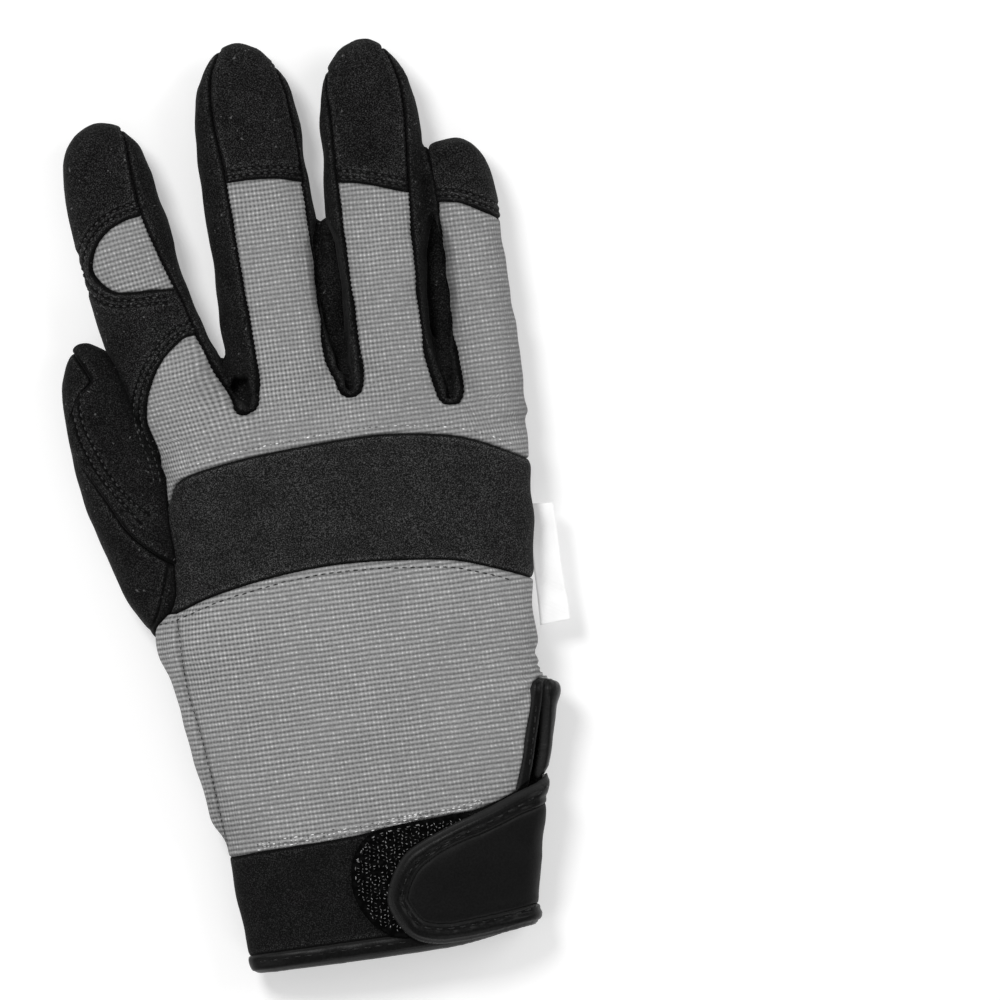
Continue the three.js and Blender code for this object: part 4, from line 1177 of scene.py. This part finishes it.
thick_piece("hook_patch", body, hook_cloth, "hook_tape", 1.0, 1.7, 0.8,
            bottom=lambda points: np.full(len(points), 0.9))
thick_piece("strap_panel", body, strap_leather, "black_leatherette", 3.0, 3.75, 2.2, bottom=under_strap,
            low=1.0)
thick_piece("strap_binding", body, binding_leather, "black_leatherette", 2.9, 3.1, 0.8, bottom=under_strap,
            relief=strap_relief, bulge=1.0, low=1.0)


# Stitches, laid on what shows from above

top_points = np.vstack(surface_points)
top_tree = BVHTree.FromPolygons(top_points.tolist(), np.vstack(surface_faces).tolist())


def on_surface(line, spacing=0.4):
    """Points and normals where a plan line meets the glove's upper face."""
    line = np.asarray(line, float)
    length = np.r_[0, np.cumsum(np.linalg.norm(np.diff(line, axis=0), axis=1))]
    at = np.arange(0, length[-1], spacing)
    plan = np.stack([np.interp(at, length, line[:, i]) for i in (0, 1)], 1)
    points, normals = [], []
    for x, y in plan.tolist():
        place, normal, _, _ = top_tree.ray_cast((x, y, 60), (0, 0, -1))
        if place is not None:
            points.append(place[:])
            normals.append(normal[:])
    return np.array(points), np.array(normals)


class Thread:
    """Many short rounded stitches in one mesh."""

    def __init__(self):
        self.points, self.faces = [], []

    def capsule(self, path, up, radius, sides=6):
        start = len(self.points)
        shares = np.linspace(0, 1, len(path))
        widths = radius * np.maximum(0.35, np.sqrt(np.clip(1 - (2 * shares - 1) ** 4, 0, 1)))
        along = np.gradient(path, axis=0)
        along /= np.maximum(np.linalg.norm(along, axis=1), 1e-9)[:, None]
        side = np.cross(along, up)
        side /= np.maximum(np.linalg.norm(side, axis=1), 1e-9)[:, None]
        over = np.cross(side, along)
        for centre, s, o, w in zip(path, side, over, widths):
            for k in range(sides):
                turn = 2 * math.pi * k / sides
                self.points.append(centre + s * (math.cos(turn) * w) + o * (math.sin(turn) * w))
        for ring in range(len(path) - 1):
            for k in range(sides):
                a, b = start + ring * sides + k, start + ring * sides + (k + 1) % sides
                self.faces.append((a, b, b + sides, a + sides))
        self.faces.append(tuple(start + k for k in range(sides))[::-1])
        self.faces.append(tuple(start + (len(path) - 1) * sides + k for k in range(sides)))

    def row(self, line, length=2.1, gap=0.9, radius=0.26, lift=0.10, wobble=0.05):
        points, normals = on_surface(line)
        if len(points) < 4:
            return
        kernel = np.ones(5) / 5
        if len(points) > 8:
            for values in (points, normals):
                for i in range(3):
                    padded = np.pad(values[:, i], 2, mode="edge")
                    values[:, i] = np.convolve(padded, kernel, mode="valid")
        run = np.r_[0, np.cumsum(np.linalg.norm(np.diff(points, axis=0), axis=1))]
        at = gap / 2
        while at + length < run[-1]:
            places = np.linspace(at, at + length, 6)
            path = np.stack([np.interp(places, run, points[:, i]) for i in range(3)], 1)
            up = np.stack([np.interp(places, run, normals[:, i]) for i in range(3)], 1)
            arc = 1 - np.linspace(-1, 1, 6) ** 2
            path = path + up * (lift * arc - radius * 0.55 * (1 - arc))[:, None]
            sideways = np.cross(path[-1] - path[0], up[2])
            path = path + sideways / np.linalg.norm(sideways) * rng.normal(0, wobble)
            self.capsule(path, up, radius)
            at += length + gap

    def build(self, name, material):
        obj = mesh_object(name, np.array(self.points), self.faces, material)
        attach(obj, "root")


black = Thread()
for rows in STITCH_ROWS.values():
    for line in rows:
        black.row(line, 1.2, 0.75, 0.27, 0.06)
black.build("black_stitches", black_thread)

edges = Thread()
edges.row(STRAP_ROW, 2.2, 1.0, 0.26, 0.05)
vent_row = offset_line(vent_line, -2.0)[6:]
edges.row(vent_row[vent_row[:, 1] > 42], 1.9, 1.0, 0.24, 0.06)
cuff_x = np.linspace(-38, 6, 60)
edges.row(np.stack([cuff_x, cuff_rise(cuff_x) + 3.4], 1), 2.2, 1.0, 0.26, 0.05)
edges.build("binding_stitches", piping_thread)

dark = Thread()
dark.row(offset_line(smooth_line([on_hand(r) for r in BAND_BOTTOM]), -1.9)[8:-8], 1.5, 0.7, 0.20, -0.02)
dark.row(WRIST_FOLD, 1.1, 0.7, 0.17, -0.05)
dark.build("wrist_panel_stitches", dark_thread)

pale = Thread()
pale.row(offset_line(smooth_line([on_hand(r) for r in BAND_TOP]), 2.0)[24:-8], 0.9, 0.8, 0.17, 0.0)
for offset, wobble in ((0.8, 0.25), (1.6, 0.1), (2.1, 0.25)):
    top_row = offset_line(smooth_line([on_hand(r) for r in CUFF_TOP]), offset)[10:-14]
    pale.row(top_row, 1.0, 0.5, 0.15, 0.05, wobble)
pale.build("grey_stitches", grey_thread)

hooks = Thread()
for column in range(-18, 19):
    for step in range(-17, 18):
        x = 10 + 1.12 * column + 0.35 * step * 0.3 + rng.normal(0, 0.16)
        y = 20 + 1.05 * (step + 0.5 * (column % 2)) + rng.normal(0, 0.16)
        spot = np.array([[x, y]])
        if PLAN["hook"](spot)[0] > -1.2 or PLAN["strap"](spot)[0] < 0.2 or rng.uniform() < 0.08:
            continue
        place, normal, _, _ = top_tree.ray_cast((x, y, 60), (0, 0, -1))
        base, up = np.array(place), np.array(normal)
        turn = rng.uniform(-0.6, 0.6) + math.pi / 2 * (column % 2)
        way = np.array([math.cos(turn), math.sin(turn), 0])
        way -= up * (way @ up)
        angle = np.linspace(0, math.pi * 0.92, 5)
        path = base + np.outer(np.sin(angle) * 0.62, up) + np.outer(0.32 * (1 - np.cos(angle)) - 0.32, way)
        hooks.capsule(path, np.repeat(np.cross(way, up)[None], 5, 0), 0.11, 4)
hooks.row(offset_line(hook_line, -1.2)[:30], 1.1, 1.4, 0.16, 0.05)
hooks.build("hook_loops", hook_thread)


# Bare satin label, folded over at its outer edge

def label_piece():
    """A satin strip folded in two along its length; its free edges run into the side seam."""
    rows, columns, half, gap = 60, 26, 0.13, 0.42
    s = np.linspace(0, 1, rows)[:, None]
    turn = np.linspace(0, 1, columns)[None, :]
    # out along the upper layer, round the fold and back along the lower one
    share = 1 - np.abs(2 * turn - 1)
    layer = np.sign(0.5 - turn) * np.sqrt(1 - share**10)
    y = 115.9 - 0.6 * share - 33.0 * s + 1.1 * share * s
    inner = 51.6 - 0.5 * np.cos(s * 3) - 1.8 * s
    outer = 58.4 + 0.35 * s + 0.15 * np.sin(s * 9)
    x = inner + (outer - inner) * share
    z = 9.0 + 1.3 * share**1.5 * (0.8 + 0.5 * np.sin(5.0 * s + 0.6)) + 0.25 * np.sin(7 * s + 3 * share)
    middle = np.dstack([x, y, z + layer * gap])
    along = np.gradient(middle, axis=1)
    normal = np.dstack([-along[:, :, 2], 0 * x, along[:, :, 0]])
    normal /= np.linalg.norm(normal, axis=2)[:, :, None]
    points = np.concatenate([middle + normal * half, (middle - normal * half)[:, ::-1]], 1).reshape(-1, 3)
    ring, faces = 2 * columns, []
    for i in range(rows - 1):
        for j in range(ring):
            a, b = i * ring + j, i * ring + (j + 1) % ring
            faces.append((a, b, b + ring, a + ring))
    for row, flip in ((0, True), (rows - 1, False)):
        for j in range(columns - 1):
            a, b, c, d = (row * ring + k for k in (j, j + 1, ring - 2 - j, ring - 1 - j))
            faces.append((a, d, c, b) if flip else (a, b, c, d))
    obj = mesh_object("side_label_satin", points, faces, white_satin)
    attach(obj, "root")
    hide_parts("side_label")


label_piece()

# Floor, light and camera

floor = bpy.data.meshes.new("floor")
floor.from_pydata([(-3, -3, 0), (3, -3, 0), (3, 3, 0), (-3, 3, 0)], [], [(0, 1, 2, 3)])
floor_paint = Nodes("pale_floor", Roughness=0.9, Specular_IOR_Level=0.1, Base_Color=(0.74, 0.74, 0.74, 1),
                    Emission_Color=(1, 1, 1, 1), Emission_Strength=0.34)
floor.materials.append(floor_paint.material)
floor_object = bpy.data.objects.new("floor", floor)
bpy.context.scene.collection.objects.link(floor_object)

world = bpy.data.worlds.new("studio")
bpy.context.scene.world = world
world.use_nodes = True
world.node_tree.nodes["Background"].inputs[0].default_value = (1, 1, 1, 1)
world.node_tree.nodes["Background"].inputs[1].default_value = 0.28


def area_light(name, place, aim, size, energy):
    data = bpy.data.lights.new(name, "AREA")
    data.shape, data.size, data.energy = "DISK", size, energy
    light = bpy.data.objects.new(name, data)
    bpy.context.scene.collection.objects.link(light)
    light.location = place
    light.rotation_euler = (Vector(aim) - Vector(place)).to_track_quat("-Z", "Y").to_euler()


area_light("key", (-0.34, 0.56, 0.95), (0, 0, 0), 0.40, 7.6)
area_light("right", (0.85, 0.25, 0.66), (0, 0, 0), 0.7, 3.9)
area_light("left", (-0.85, -0.35, 0.66), (0, 0, 0), 0.7, 1.9)
area_light("front", (0.25, -0.95, 0.66), (0, 0, 0), 0.7, 2.6)

bpy.context.scene.view_settings.view_transform = "Standard"
camera = bpy.data.objects.new("camera", bpy.data.cameras.new("camera"))
bpy.context.scene.collection.objects.link(camera)
camera.data.lens, camera.data.sensor_width = 800, 36
camera.data.clip_end = 20
camera.location = (0.049706, -0.006923, 0.012 + 0.27 * 800 / 36)
camera.rotation_euler = (0, 0, math.radians(-8))
bpy.context.scene.camera = camera
